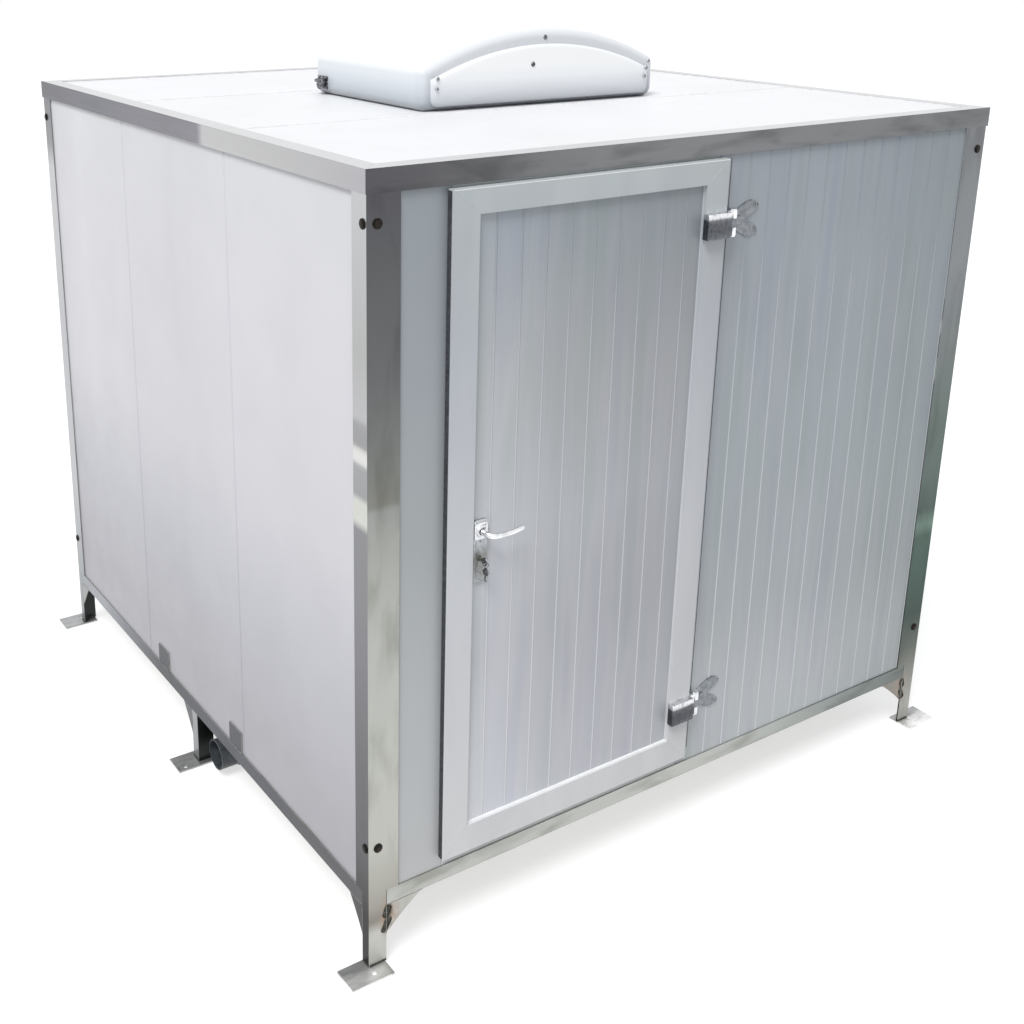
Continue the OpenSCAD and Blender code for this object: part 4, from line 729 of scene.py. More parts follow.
def pan_heads():
    """Domed screw head with a cross recess."""
    tree, sockets, given = start_form("pan_heads", {"Radius": 0.005, "Height": 0.002, "Finish": None,
                                                    "Recess": None})
    ball = add_node(tree, "GeometryNodeMeshUVSphere", {"Segments": 20, "Rings": 10, "Radius": 1.0})
    size = add_node(tree, "ShaderNodeCombineXYZ", None,
                    {0: given["Radius"], 1: given["Radius"], 2: given["Height"]})
    dome = add_node(tree, "GeometryNodeTransform", None, {"Geometry": ball, "Scale": size})
    parts = [(dome, given["Finish"])]
    for over, up in ((1.05, 0.22), (0.22, 1.05)):
        sides = add_node(tree, "ShaderNodeVectorMath", {"operation": "MULTIPLY", 1: (over, up, 2.02)},
                         {0: size})
        parts.append((add_node(tree, "GeometryNodeMeshCube", None, {"Size": sides}), given["Recess"]))
    joined = add_node(tree, "GeometryNodeJoinGeometry")
    for part, finish in parts:
        coated = add_node(tree, "GeometryNodeSetMaterial", None, {"Geometry": part, "Material": finish})
        join(tree, coated, joined.inputs[0])
    end_form(tree, set_on_places(tree, given, joined))
    return tree, sockets


def beads():
    """A bead along a path, with ripples like the ones a weld leaves where a share is given."""
    tree, sockets, given = start_form("beads", {"Radius": 0.003, "Ripple share": 0.0, "Ripple pitch": 0.004,
                                                "Step": 0.02, "Finish": None})
    curve = add_node(tree, "GeometryNodeMeshToCurve", None, {0: given["Geometry"]})
    even = add_node(tree, "GeometryNodeResampleCurve", {"mode": "LENGTH"}, {"Curve": curve, 3: given["Step"]})
    along = add_node(tree, "GeometryNodeSplineParameter").outputs["Length"]
    turns = add_node(tree, "ShaderNodeMath", {"operation": "DIVIDE"}, {0: along, 1: given["Ripple pitch"]})
    angle = add_node(tree, "ShaderNodeMath", {"operation": "MULTIPLY", 1: 2 * math.pi}, {0: turns})
    wave = add_node(tree, "ShaderNodeMath", {"operation": "SINE"}, {0: angle})
    factor = add_node(tree, "ShaderNodeMath", {"operation": "MULTIPLY_ADD", 2: 1.0},
                      {0: wave, 1: given["Ripple share"]})
    radius = add_node(tree, "ShaderNodeMath", {"operation": "MULTIPLY"}, {0: factor, 1: given["Radius"]})
    ring = add_node(tree, "GeometryNodeCurvePrimitiveCircle", {"Resolution": 8, "Radius": 1.0})
    body = add_node(tree, "GeometryNodeCurveToMesh", {"Fill Caps": True},
                    {"Curve": even, "Profile Curve": ring, "Scale": radius})
    end_form(tree, body, given["Finish"])
    return tree, sockets


def upright_bars():
    """Slender round bars on places, such as the crowns of a panel's fine ribs."""
    tree, sockets, given = start_form("upright_bars", {"Radius": 0.0015, "Length": 1.8, "Finish": None})
    bar = add_node(tree, "GeometryNodeMeshCylinder", {"Vertices": 28},
                   {"Radius": given["Radius"], "Depth": given["Length"]})
    end_form(tree, set_on_places(tree, given, bar), given["Finish"])
    return tree, sockets


HEX_HEADS = hex_heads()
PAN_HEADS = pan_heads()
BEADS = beads()
BARS = upright_bars()


def grow(name, host_mesh, form, sizes, body, slot, *stands_for):
    """Runs a form on its places or path, keeps the result as a plain mesh and shows it."""
    tree, sockets = form
    host = bpy.data.objects.new(name + "_places", host_mesh)
    bpy.context.scene.collection.objects.link(host)
    step = host.modifiers.new("form", "NODES")
    step.node_group = tree
    for label, value in sizes.items():
        step[sockets[label]] = value
    bpy.context.view_layer.update()
    done = host.evaluated_get(bpy.context.evaluated_depsgraph_get())
    mesh = bpy.data.meshes.new_from_object(done)
    bpy.data.objects.remove(host)
    mesh.name = name
    show_mesh(name, mesh, body, slot, stands_for)


def on_places(places):
    """Points with a turn each, as (point, direction that the form's Z looks)."""
    mesh = bpy.data.meshes.new("places")
    mesh.from_pydata([tuple(metres(p)) for p, _ in places], [], [])
    turns = mesh.attributes.new("turn", "FLOAT_VECTOR", "POINT")
    for i, (_, out) in enumerate(places):
        turns.data[i].vector = Vector(out).to_track_quat("Z", "Y").to_euler()
    return mesh


def add_screws(name, places, radius, height, finish, body, slot, *stands_for):
    """Screw heads of a radius and height on places."""
    sizes = {"Radius": radius / 1000, "Height": height / 1000, "Finish": finish, "Recess": BOLT}
    grow(name, on_places(places), PAN_HEADS, sizes, body, slot, *stands_for)


def add_beads(name, paths, radius, finish, body, slot, ripple=0.0, pitch=4.0, step=20.0):
    """Beads along paths of points."""
    points, edges = [], []
    for path in paths:
        edges += [(len(points) + i, len(points) + i + 1) for i in range(len(path) - 1)]
        points += [tuple(metres(p)) for p in path]
    mesh = bpy.data.meshes.new("paths")
    mesh.from_pydata(points, edges, [])
    grow(name, mesh, BEADS, {"Radius": radius / 1000, "Ripple share": ripple, "Ripple pitch": pitch / 1000,
                             "Step": step / 1000, "Finish": finish}, body, slot)


# Steel frame: bolts and welds

def make_frame_details():
    places = []
    for sx, sy in CORNERS:
        for z in BOLT_Z:
            places.append(((sx * (POST - 32.0), sy * POST, z), (0, sy, 0)))
            places.append(((sx * POST, sy * (POST - 17.0), z), (sx, 0, 0)))
    grow("post_bolt_heads", on_places(places), HEX_HEADS,
         {"Head radius": 0.011, "Head height": 0.0045, "Washer radius": 0.014, "Washer height": 0.002,
          "Finish": BOLT}, "cabin", "dark_bolt", "post_bolts")

    welds, burns = [], []
    gusset_low, gusset_high, burn_z = 100.0, 196.0, 9.5
    gusset_end_x, gusset_end_y = 1030.0, 1106.0
    burn_end_x, burn_end_y = 1157.0, 1182.0
    for sx, sy in CORNERS:
        leg_x, leg_y = sx * (POST - LEG_WIDE), sy * (POST - LEG_DEEP)
        face, side = sy * (POST - 1.0), sx * (POST - 1.0)
        inner_x, inner_y = sx * (POST - 3.0), sy * (POST - 3.0)
        welds += [[(leg_x, face, gusset_low), (leg_x, face, gusset_high)],
                  [(leg_x - sx * 4.0, face, RAIL_LOW), (sx * gusset_end_x, face, RAIL_LOW)],
                  [(side, leg_y, gusset_low), (side, leg_y, gusset_high)],
                  [(side, leg_y - sy * 4.0, RAIL_LOW), (side, sy * gusset_end_y, RAIL_LOW)]]
        burns += [[(inner_x, sy * burn_end_y, burn_z), (inner_x, inner_y, burn_z)],
                  [(inner_x, inner_y, burn_z), (sx * burn_end_x, inner_y, burn_z)]]
    for sx in (-1, 1):
        inner_x, side = sx * (POST - 3.0), sx * (POST - 1.0)
        burns.append([(inner_x, 18.0, burn_z), (inner_x, -23.0, burn_z)])
        welds.append([(side, 20.0, gusset_low), (side, 20.0, gusset_high)])
        welds += [[(sx * POST, y - 46.0, RAIL_TOP), (sx * POST, y + 46.0, RAIL_TOP)] for y in CLIP_Y]
    add_beads("frame_welds", welds, 1.7, SEAMS, "cabin", "stainless_frame", 0.2, 4.5, 1.4)
    add_beads("foot_welds", burns, 5.2, DARK_WELD_AND_HOLLOW_SHADE, "cabin", "stainless_frame", 0.1, 9.0, 2.5)

    # Near-black plates in the hollows between leg and gusset, long ovals leaning inwards: painted shade
    # inside the openings
    bm = bmesh.new()
    for sx, sy in CORNERS:
        for x, z, radius, half, lean in ((1153.0, 176.0, 12.4, 9.0, 20.0), (1155.0, 130.0, 11.4, 15.0, 28.0)):
            c, s = math.cos(math.radians(lean)), math.sin(math.radians(lean))
            oval = [(u, v + (half if v >= 0 else -half)) for u, v in circle(radius, 24)]
            add_plate(bm, [(sx * (x - u * c - v * s), z - u * s + v * c) for u, v in oval],
                      facing(sy * (POST - 2.6), sy), 0.7, 0.3)
    make_piece("gusset_pockets", bm, DARK_WELD_AND_HOLLOW_SHADE, "cabin", "stainless_frame")

    out, inner = RIM - 0.6, RIM - RIM_LEG
    mitres = [[(sx * out, sy * out, TOP - RIM_LEG), (sx * out, sy * out, TOP - 0.7),
               (sx * inner, sy * inner, TOP - 0.5)] for sx, sy in CORNERS]
    add_beads("rim_corner_welds", mitres, 0.9, RIMS, "cabin", "stainless_frame", 0.25, 3.0, 1.0)

    laps = [[(-inner, y, ROOF + 0.4), (inner, y, ROOF + 0.4)] for y in (-SEAM, SEAM)]
    for s in (-1157.5, 1157.5):
        laps.append([(s, -1157.0, ROOF + 0.8), (s, 1157.0, ROOF + 0.8)])
        laps.append([(-1157.0, s, ROOF + 0.8), (1157.0, s, ROOF + 0.8)])
    add_beads("roof_sealant", laps, 2.4, SEALANT, "cabin", "roof_panel", 0.06, 60.0, 15.0)

    lines = []
    face, low, high = WALL - 0.4, 256.0, 2277.0
    for along in (-SEAM - 4, -SEAM + 4, SEAM - 4, SEAM + 4):
        lines += [[(x, along, low), (x, along, high)] for x in (-face, face)]
        lines.append([(along, face, low), (along, face, high)])
    add_beads("wall_joints", lines, 0.9, JOINT, "cabin", "side_panel", 0.05, 50.0, 30.0)
    # A grey seal along the panel beside the door, its dark grey the painted shadow of the gap between leaf
    # and wall
    seal = [(24.0, -WALL - 0.3, LEAF_LOW + 12), (24.0, -WALL - 0.3, LEAF_HIGH - 6)]
    add_beads("jamb_seal_and_gap_shadow_line", [seal], 2.0, GREY_SEAL_AND_GAP_SHADOW, "cabin", "front_panel", 0.06, 90.0, 30.0)


# Fine ribs of the infill and of the wide front panel, with a crown in the middle of each groove

def make_ribs(name, left, right, low, high, y, length, body, slot):
    count = math.floor((right - left - RIB_PITCH / 2) / RIB_PITCH)
    start = (left + right - count * RIB_PITCH) / 2
    places = [((start + i * RIB_PITCH, y + 2.9, (low + high) / 2), (0, 0, 1)) for i in range(count + 1)]
    grow(name, on_places(places), BARS, {"Radius": 0.004, "Length": length / 1000, "Finish": RIB_CROWN},
         body, slot)


# Door leaf: lips, beads and gasket

def make_leaf_details():
    def corners(left, right, low, high, y):
        return (left, y, high), (left, y, low), (right, y, low), (right, y, high)

    a, b, c, d = corners(LEAF_LEFT + 3, LEAF_RIGHT - 3, LEAF_LOW + 3, LEAF_HIGH - 3, LEAF_FACE + 2.6)
    e, f, g, h = corners(INFILL_LEFT, INFILL_RIGHT, INFILL_LOW, INFILL_HIGH, INFILL_FACE + 1.0)
    for name, paths, radius, finish in (("leaf_outer_lip", [[a, b], [b, c], [c, d]], 3.0, PROFILE),
                                        ("leaf_top_arris", [[a, d]], 3.1, ARRIS),
                                        ("infill_bead", [[g, h], [h, e]], 4.0, PROFILE),
                                        ("infill_bright_bead", [[e, f], [f, g]], 4.6, ARRIS)):
        add_beads(name, paths, radius, finish, "door", "door_profile", step=60.0)

    bm = bmesh.new()
    front, back = LEAF_FACE + 5, LAP_BACK - 0.4
    for x, out in ((LEAF_LEFT, -1), (LEAF_RIGHT, 1)):
        add_block(bm, (x - out * 0.6, front, LEAF_LOW + 4), (x + out * 2.0, back, LEAF_HIGH - 4), 0.8)
    add_block(bm, (LEAF_LEFT + 4, front, LEAF_LOW - 1.6), (LEAF_RIGHT - 4, back, LEAF_LOW + 0.6), 0.8)
    make_piece("leaf_edge_gasket", bm, RUBBER, "door", "gasket_rubber")

    bm = bmesh.new()
    for x, far_x, sx in ((LEAF_LEFT, INFILL_LEFT, 1), (LEAF_RIGHT, INFILL_RIGHT, -1)):
        for z, far_z, sz in ((LEAF_LOW, INFILL_LOW, 1), (LEAF_HIGH, INFILL_HIGH, -1)):
            add_swept(bm, [(x + sx * 4, LEAF_FACE, z + sz * 4), (far_x - sx * 5, LEAF_FACE, far_z - sz * 5)],
                      [(0.4, 0.0), (0.0, 0.22), (-0.4, 0.0), (0.0, -0.22)])
    make_piece("leaf_mitre_joints", bm, JOINT, "door", "door_profile")


# Hinges: a box on the leaf with two knuckles, and a forked leaf on the wall with one between them

KNUCKLES = ((-38.5, -12.85), (12.85, 38.5))
# The upper half of the fork's outline, from its root out over the prong's tip and back
PRONG = [(104, 9), (130, 22), (150, 35), (147, 41), (134, 50), (118, 55), (98, 52), (70, 38), (51, 26)]


def make_hinges():
    bm = bmesh.new()
    for z in HINGE_Z:
        add_block(bm, (-101, -1262, z - 38.5), (-7, -1236, z + 38.5), 4.5, 4)
        for low, high in KNUCKLES:
            add_block(bm, (-12, -1244, z + low), (19, -1228, z + high), 2.0, 3)
    make_piece("hinge_leaf_castings", bm, HINGE_CAST, "door", "bright_hardware", "hinge_door_leaves")

    bm = bmesh.new()
    for z in HINGE_Z:
        place = standing(HINGE_X, HINGE_Y, z)
        for low, high in KNUCKLES:
            add_turned(bm, [(0, low), (12.8, low), (14, low + 1.2), (14, high - 1.2), (12.8, high),
                            (0, high)], place)
        for end in (-1, 1):
            add_turned(bm, [(0, end * 36.0), (12.6, end * 36.0), (13, end * 38.6), (13, end * 40.6),
                            (11.2, end * 41.9), (7.5, end * 42.4), (0, end * 42.5)], place)
        add_turned(bm, [(0, -30), (4.9, -30), (4.9, 30), (0, 30)], place, 20)
    make_piece("hinge_knuckles", bm, BRIGHT, "door", "bright_hardware", "hinge_pins")

    bm = bmesh.new()
    key = [(u, -v) for u, v in reversed(PRONG)] + [(92, 0)] + PRONG
    outline = []
    for (u, v), (next_u, next_v) in zip(key, key[1:] + key[:1]):
        outline += [(u, v), ((u + next_u) / 2, (v + next_v) / 2)]
    for z in HINGE_Z:
        add_turned(bm, [(5.1, -12.5), (12.9, -12.5), (14, -11.4), (14, 11.4), (12.9, 12.5), (5.1, 12.5),
                        (5.1, -12.5)], standing(HINGE_X, HINGE_Y, z))
        add_block(bm, (27.5, -1226, z - 12.4), (35, -1212, z + 12.4), 2.0, 3)
        add_block(bm, (30, -1222, z - 12.4), (74, -1211, z + 12.4), 3.5, 4)
        add_plate(bm, outline, facing(-1210.2, -1, 0, z), 4.8, 2.2)
    make_piece("hinge_fork_castings", bm, DULL_CAST, "cabin", "bright_hardware", "hinge_wall_leaves")
    places = [((139, -1215, z + side * 41.0), (0, -1, 0)) for z in HINGE_Z for side in (-1, 1)]
    add_screws("hinge_fork_screws", places, 5.8, 2.2, DULL_CAST, "cabin", "bright_hardware")


# Lever handles and their plates, outside and inside

def make_handles():
    bm = bmesh.new()
    for face, out in ((INFILL_FACE, -1), (PLUG_BACK, 1)):
        add_plate(bm, rounded_outline(-886, -840, PLATE_LOW, PLATE_HIGH, 9), facing(face, out), 7.6, 2.4)
    make_piece("handle_back_plates", bm, PLATE, "door", "bright_hardware", "handle_plates")

    bm = bmesh.new()
    for face, out in ((INFILL_FACE, -1), (PLUG_BACK, 1)):
        add_plate(bm, rounded_outline(-885.5, -840.5, 1291, 1341, 7), facing(face + out * 5, out), 6.4, 2.2)
        add_turned(bm, [(10.4, 9.0), (17.5, 9.0), (18, 12.0), (16.4, 14.9), (12.5, 15.6), (10.4, 15.6)],
                   facing(face, out, LEVER_X, LEVER_Z))
    make_piece("handle_roses", bm, BRIGHT, "door", "bright_hardware")
    places = [((LEVER_X, y, z), (0, out, 0)) for y, out in ((-1233.6, -1), (-1168.4, 1))
              for z in (1168.0, 1284.0)]
    add_screws("handle_plate_screws", places, 4.2, 1.6, LOCK_STEEL, "door", "lock_steel")

    for name, node, base, out in (("lever_handle_outside", "lever_outer", -1232.0, -1),
                                  ("lever_handle_inside", "lever_inner", -1170.0, 1)):
        path = smooth_path([(LEVER_X + x, base + out * y, LEVER_Z + z) for x, y, z in (
            (0, 0, 0), (0, 22, 0), (1, 36, 0), (12, 45, -2), (30, 46, -5), (60, 45.4, -6), (90, 44.6, -4),
            (119, 43, 0))])
        scales = []
        for i in range(len(path)):
            t = i / (len(path) - 1)
            wide = 1.0 + 0.12 * math.sin(math.pi * min(t * 1.6, 1.0))
            if t > 0.95:
                wide *= math.sqrt(max(1 - ((t - 0.95) / 0.05) ** 2 * 0.82, 0.1))
            scales.append((wide * (1.0 - 0.22 * t), wide))
        bm = bmesh.new()
        add_swept(bm, path, circle(8.2, 24), scales)
        make_piece(name, bm, BRIGHT, "lever", "bright_hardware", node, crease=50)


# Roof hood

def hood_outline(ball):
    """The hood's outline with its corners and arch at a distance from the inner line that a ball rolls on."""
    inner, low, edge = ARCH_R - HOOD_ROUND, HOOD_HIGH - ARCH_R, HOOD_HALF - HOOD_ROUND
    reach = math.degrees(math.asin(edge / inner))
    eaves = low + inner * math.cos(math.radians(reach))
    arch = arc(0, low, inner + ball, 90 + reach, 90 - reach, 56)
    side = arc(edge, eaves, ball, 90 - reach, 0, 8)[1:] + arc(edge, HOOD_ROUND, ball, 0, -90, 8)
    return arch + side + [(-u, v) for u, v in reversed(side)]


# Steps round each end of the hood, and the last point on the right of its outline, where the underside
# starts, which stays open between the ends
HOOD_STEPS, HOOD_UNDER = 10, 57 + 8 + 8


def make_hood():
    outlines = [(HOOD_DEEP - HOOD_ROUND + back, hood_outline(ball))
                for back, ball in arc(0, 0, HOOD_ROUND, 0, 90, HOOD_STEPS)]
    rows = [[(HOOD_X + u, -y, ROOF + v) for u, v in outline] for y, outline in outlines]
    rows += [[(HOOD_X + u, y, ROOF + v) for u, v in outline] for y, outline in reversed(outlines)]
    bm = bmesh.new()
    add_rings(bm, rows, (True, True), (HOOD_STEPS, HOOD_UNDER))
    make_piece("hood_moulding", bm, GELCOAT, "cabin", "hood_plastic", "hood_shell", crease=60, wall=5.0)

    half, high, eaves, corner, low = 465.0, 200.0, 101.0, 24.0, 14.0
    rise = high - eaves
    radius = (half * half + rise * rise) / (2 * rise)
    reach = math.degrees(math.asin(half / radius))
    foot = low + corner
    side = [(half, eaves - (eaves - foot) * i / 5) for i in range(1, 5)]
    side += arc(half - corner, foot, corner, 0, -90, 6)
    outline = arc(0, high - radius, radius, 90 + reach, 90 - reach, 80) + side
    outline += [((half - corner) * (1 - i / 15), low) for i in range(1, 30)]
    outline += [(-u, v) for u, v in reversed(side)]
    centre = 92.0
    rows = [[(HOOD_X + u, -HOOD_DEEP, ROOF + v) for u, v in outline]]
    for share in (1.0, 0.997, 0.99, 0.98, 0.965, 0.945, 0.92, 0.88, 0.82, 0.74, 0.64, 0.52, 0.38, 0.2):
        edge = min((1 - share) / 0.08, 1.0)
        deep = 12.5 * math.sqrt(1 - (1 - edge) ** 2) + 7.3 * (1 - share ** 2)
        rows.append([(HOOD_X + u * share, -HOOD_DEEP - 0.2 - deep, ROOF + centre + (v - centre) * share)
                     for u, v in outline])
    rows.append([(HOOD_X, -HOOD_DEEP - 20.0, ROOF + centre)])
    bm = bmesh.new()
    add_rings(bm, rows, (True, False))
    make_piece("hood_front_moulding", bm, GELCOAT, "cabin", "hood_plastic", "hood_front_panel", crease=60)

    dark = [(-65, -369.6, 136, (0, -1, 0)), (-2, -349.5, 221, (0, -1, 0.12))]
    pale = [(440, -367.0, 74, (0, -1, 0)), (446, -366.0, 102, (0, -1, 0)), (-448, -366.0, 74, (0, -1, 0)),
            (-446, -366.0, 106, (0, -1, 0)), (470, -349.5, 124, (0.1, -1, 0))]
    for name, spots, radius, height, finish, *stands_for in (
            ("hood_screw_heads", dark, 8.5, 3.2, CATCH, "hood_screws"),
            ("hood_side_screw_heads", pale, 7.5, 2.8, PALE_SCREW)):
        places = [((HOOD_X + x, y, ROOF + z), out) for x, y, z, out in spots]
        add_screws(name, places, radius, height, finish, "cabin", "catch_metal", *stands_for)

    bm = bmesh.new()
    for x in range(-3, 4):
        for z in (66.0, 90.0):
            rows = []
            for u, swell in ((-42, 0.0), (-40, 0.6), (-34, 0.95), (0, 1.0), (34, 0.95), (40, 0.6), (42, 0.0)):
                rows.append([(HOOD_X + x * 120.0 + u, HOOD_DEEP - 1.0 + 7.0 * max(math.sin(a), 0) * swell,
                              ROOF + z + 9.0 * math.cos(a) * max(swell, 0.05))
                             for a in (math.pi * k / 8 for k in range(9))])
            add_rings(bm, rows, (True, True))
    make_piece("hood_louvres", bm, GELCOAT, "cabin", "hood_plastic", crease=50)

    bm = bmesh.new()
    add_block(bm, (-492, 251, 2356), (-487.5, 319, 2402), 1.6, 3)
    add_block(bm, (-503, 259, 2364), (-491, 311, 2392), 3.0, 4)
    add_turned(bm, [(0, 255), (4.6, 255), (6, 256.4), (6, 313.6), (4.6, 315), (0, 315)],
               facing(0, 1, -503, 2384), 28)
    loop = [(-500 - 5 * math.sin(math.pi * k / 12), 262 + 46 * k / 12, 2362 - 5 * math.sin(math.pi * k / 12))
            for k in range(13)]
    add_swept(bm, loop, circle(2.0, 10))
    for y in (262, 308):
        add_turned(bm, [(0, 0), (3.4, 0), (3.4, 1.6), (2.2, 2.6), (0, 2.8)],
                   lambda u, v, w, y=y: (-492 - w, y + u, 2397.5 + v), 18)
    make_piece("hood_toggle_catch", bm, CATCH, "cabin", "catch_metal", "hood_catch")


# Sanitary ware, in level sections from the foot up and down again inside

def make_china(name, rows, shut, *stands_for):
    bm = bmesh.new()
    add_rings(bm, rows, (shut, shut))
    make_piece(name, bm, CHINA, "cabin", "white_ceramic", *stands_for, crease=60)


def make_sanitary_ware():
    def egg(half, front, back, z, power):
        """An egg-like outline: round at the front, squarer at the wall."""
        middle = front + (back - front) * 0.42
        out = []
        for c, s in circle(1, 56):
            p = 2.0 if s < 0 else power
            size = (abs(c) ** p + abs(s) ** p) ** (-1 / p)
            reach = back - middle if s > 0 else middle - front
            out.append((WC_X + half * c * size, middle + reach * s * size, z))
        return out

    def level(z, *outline):
        return [(u, v, z) for u, v in rounded_outline(*outline)]

    def cistern(inset, z, corner):
        half, front = 190 - inset, 1000 + inset
        return level(z, WC_X - half, WC_X + half, front, ROOM, corner, 12)

    def button_hole(radius, z):
        return level(z, WC_X - radius, WC_X + radius, FLUSH_Y - radius, FLUSH_Y + radius, radius, 12)

    def basin(half, front, back, z, corner):
        return level(z, BASIN_X - half, BASIN_X + half, front, back, corner, 8)

    # Rows of half width, front, back, height, and squareness at the wall
    make_china("toilet_pan", [egg(*row) for row in (
        (106, 668, 1160, FLOOR, 5), (104, 664, 1160, 300, 5), (98, 660, 1160, 380, 5),
        (104, 636, 1160, 460, 5), (128, 566, 1160, 540, 5), (156, 506, 1160, 610, 5),
        (172, 474, 1160, 650, 5), (179, 464, 1160, 672, 5), (179, 463, 1160, 682, 5),
        (174, 467, 1156, 687.6, 5), (160, 480, 1140, 688, 5), (134, 496, 856, 688, 2.4),
        (129, 502, 848, 686, 2.4), (125, 508, 842, 676, 2.4), (119, 518, 834, 640, 2.4),
        (104, 548, 820, 596, 2.4), (80, 600, 796, 556, 2.2), (52, 650, 764, 530, 2.0),
        (20, 686, 728, 521, 2.0))], True, "wc_pan")
    # Rows of inset, height and corner radius
    make_china("cistern_china", [cistern(*row) for row in (
        (22, 688.0, 30), (14, 691, 36), (10, 700, 38), (7, 760, 38), (5, 1000, 36), (7, 1003.4, 34))],
        True, "wc_cistern")
    hole = FLUSH_R + 0.6
    cover = [cistern(*row) for row in (
        (9, 1038, 32), (2.6, 1035.8, 37), (0, 1030, 40), (0, 1009, 40), (1.4, 1005.2, 39), (4, 1003.8, 37),
        (14, 1004, 30), (15, 1024, 30))]
    make_china("cistern_cover", [button_hole(hole, 1036.6), button_hole(hole + 1.4, 1038), *cover,
                                 button_hole(hole, 1024), button_hole(hole, 1036.6)], False)
    # Rows of half width, front, back, height and corner radius
    make_china("wash_basin_china", [basin(*row) for row in (
        (100, 884, 1160, 970, 40), (150, 840, 1160, 990, 50), (205, 796, 1160, 1040, 60),
        (236, 770, 1160, 1080, 62), (249, 761, 1160, 1096, 64), (250, 760, 1160, 1126, 64),
        (248, 762, 1160, 1134, 63), (240, 770, 1158, 1138, 60), (198, 800, 1064, 1137.5, 90),
        (192, 806, 1058, 1134, 90), (182, 816, 1050, 1110, 90), (150, 842, 1024, 1050, 84),
        (90, 886, 976, 1012, 44), (24, 908, 952, 1006, 21))], True, "wash_basin")

    bm = bmesh.new()
    add_turned(bm, [(0, 0), (139.5, 0), (140, 2), (140, 15), (136, 18), (134, 20), (130, 32), (114, 44),
                    (84, 51.5), (44, 54.4), (0, 55)], lambda u, v, w: (LAMP_X + u, v, ROOF_UNDER - w), 64)
    make_piece("lamp_cover", bm, OPAL, "cabin", "light_diffuser", "ceiling_light", crease=60)

    bm = bmesh.new()
    swell = [(55.2, -4), (58.6, -3), (60.4, 0), (58.6, 3), (55.2, 4)]
    lip = [(52.2, -1189.4), (55.4, -1189.4), (56.4, -1187.5), (55.2, -1185)]
    for x, profile in ((-1112.0, swell), (-1056.0, swell), (0.0, lip)):
        add_turned(bm, profile, lambda u, v, w, x=x: (x + w, PIPE_Y + u, PIPE_Z + v), 56)
    make_piece("pipe_collars", bm, PIPE, "cabin", "pipe_plastic", crease=60)


make_frame_details()
make_ribs("front_panel_ribs", PANEL_LEFT, ROOM, RAIL_TOP, PANEL_HIGH, -WALL, 2026.0, "cabin", "front_panel")
make_ribs("door_infill_ribs", INFILL_LEFT, INFILL_RIGHT, INFILL_LOW, INFILL_HIGH, INFILL_FACE, 1822.0,
          "door", "door_infill")
make_leaf_details()
make_hinges()
make_handles()
make_hood()
make_sanitary_ware()


# Studio

SKY = 0.62


def rays_that_see(tree):
    """One for the rays that show the backdrop, none for those that light the object."""
    path = add_node(tree, "ShaderNodeLightPath").outputs
    eye = add_node(tree, "ShaderNodeMath", {"operation": "MAXIMUM"},
                   {0: path["Is Camera Ray"], 1: path["Is Glossy Ray"]})
    return add_node(tree, "ShaderNodeMath", {"operation": "MAXIMUM"},
                    {0: eye, 1: path["Is Transmission Ray"]})


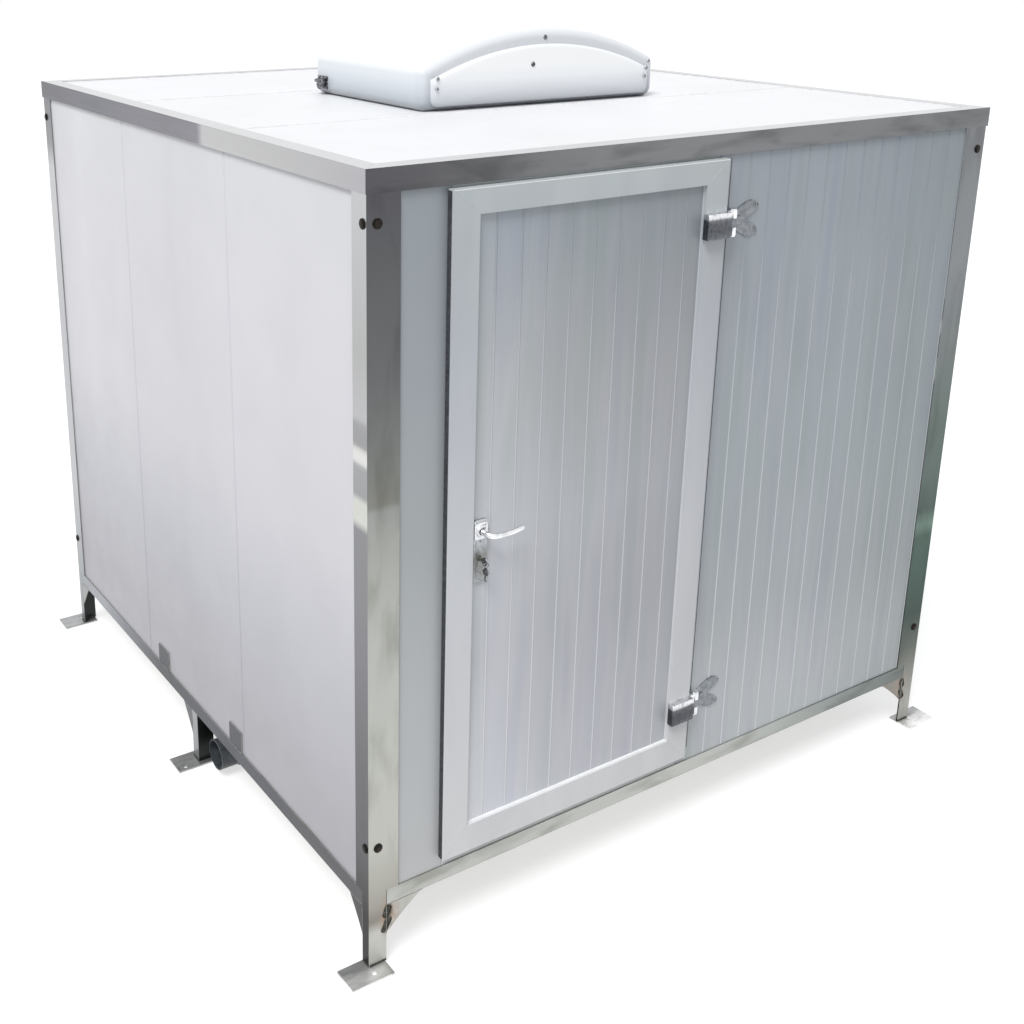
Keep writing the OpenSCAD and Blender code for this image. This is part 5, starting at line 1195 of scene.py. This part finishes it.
def make_studio():
    """A wide pale floor that keeps the shadow, an even white sky and one broad sun from the left."""
    floor_mesh = bpy.data.meshes.new("studio_floor")
    floor_mesh.from_pydata([(x, y, -0.0006) for x, y in circle(40, 96)], [], [tuple(range(96))])
    floor = bpy.data.objects.new("studio_floor", floor_mesh)
    bpy.context.scene.collection.objects.link(floor)
    material = bpy.data.materials.new("pale_studio_floor")
    material.use_nodes = True
    tree = material.node_tree
    tree.nodes.clear()
    strength = add_node(tree, "ShaderNodeMath", {"operation": "MULTIPLY", 1: SKY}, {0: rays_that_see(tree)})
    matt = add_node(tree, "ShaderNodeBsdfDiffuse", {"Color": (0.5, 0.5, 0.5, 1)})
    glow = add_node(tree, "ShaderNodeEmission", {"Color": (1, 1, 1, 1)}, {"Strength": strength})
    both = add_node(tree, "ShaderNodeAddShader", None, {0: matt, 1: glow})
    add_node(tree, "ShaderNodeOutputMaterial", None, {"Surface": both})
    floor_mesh.materials.append(material)

    world = bpy.data.worlds.new("studio")
    bpy.context.scene.world = world
    world.use_nodes = True
    tree = world.node_tree
    tree.nodes.clear()
    soft = add_node(tree, "ShaderNodeBackground", {"Color": linear("#f2f4f7"), "Strength": SKY})
    white = add_node(tree, "ShaderNodeBackground", {"Color": (1, 1, 1, 1), "Strength": 1.0})
    mixed = add_node(tree, "ShaderNodeMixShader", None, {0: rays_that_see(tree), 1: soft, 2: white})
    add_node(tree, "ShaderNodeOutputWorld", None, {"Surface": mixed})

    key = bpy.data.lights.new("key", "SUN")
    key.energy = 2.1
    key.angle = math.radians(24)
    key_lamp = bpy.data.objects.new("key", key)
    towards = Vector((-0.52, -0.30, 0.86))
    key_lamp.rotation_mode = "QUATERNION"
    key_lamp.rotation_quaternion = towards.to_track_quat("Z", "Y")
    bpy.context.scene.collection.objects.link(key_lamp)


def make_camera():
    """At the photograph's viewing angle; azimuth, elevation and roll in degrees, the rest in its pixels."""
    azimuth, elevation, roll = math.radians(32.6), math.radians(17.0), math.radians(0.24)
    photo, focal, aim_x, aim_y = 1024, 1311, 400, 345
    ahead = Vector((math.sin(azimuth) * math.cos(elevation), math.cos(azimuth) * math.cos(elevation),
                    -math.sin(elevation)))
    right = Vector((math.cos(azimuth), -math.sin(azimuth), 0))
    up = right.cross(ahead)
    right, up = right * math.cos(roll) + up * math.sin(roll), up * math.cos(roll) - right * math.sin(roll)
    lens = bpy.data.cameras.new("camera")
    lens.sensor_width = 36.0
    lens.lens = focal / photo * lens.sensor_width
    lens.shift_x = (photo / 2 - aim_x) / photo
    lens.shift_y = (aim_y - photo / 2) / photo
    camera = bpy.data.objects.new("camera", lens)
    turn = Matrix((right, up, -ahead)).transposed()
    camera.matrix_world = Matrix.Translation((-2.824, -3.885, 2.853)) @ turn.to_4x4()
    bpy.context.scene.collection.objects.link(camera)
    bpy.context.scene.camera = camera


make_studio()
make_camera()
bpy.context.scene.view_settings.view_transform = "Standard"
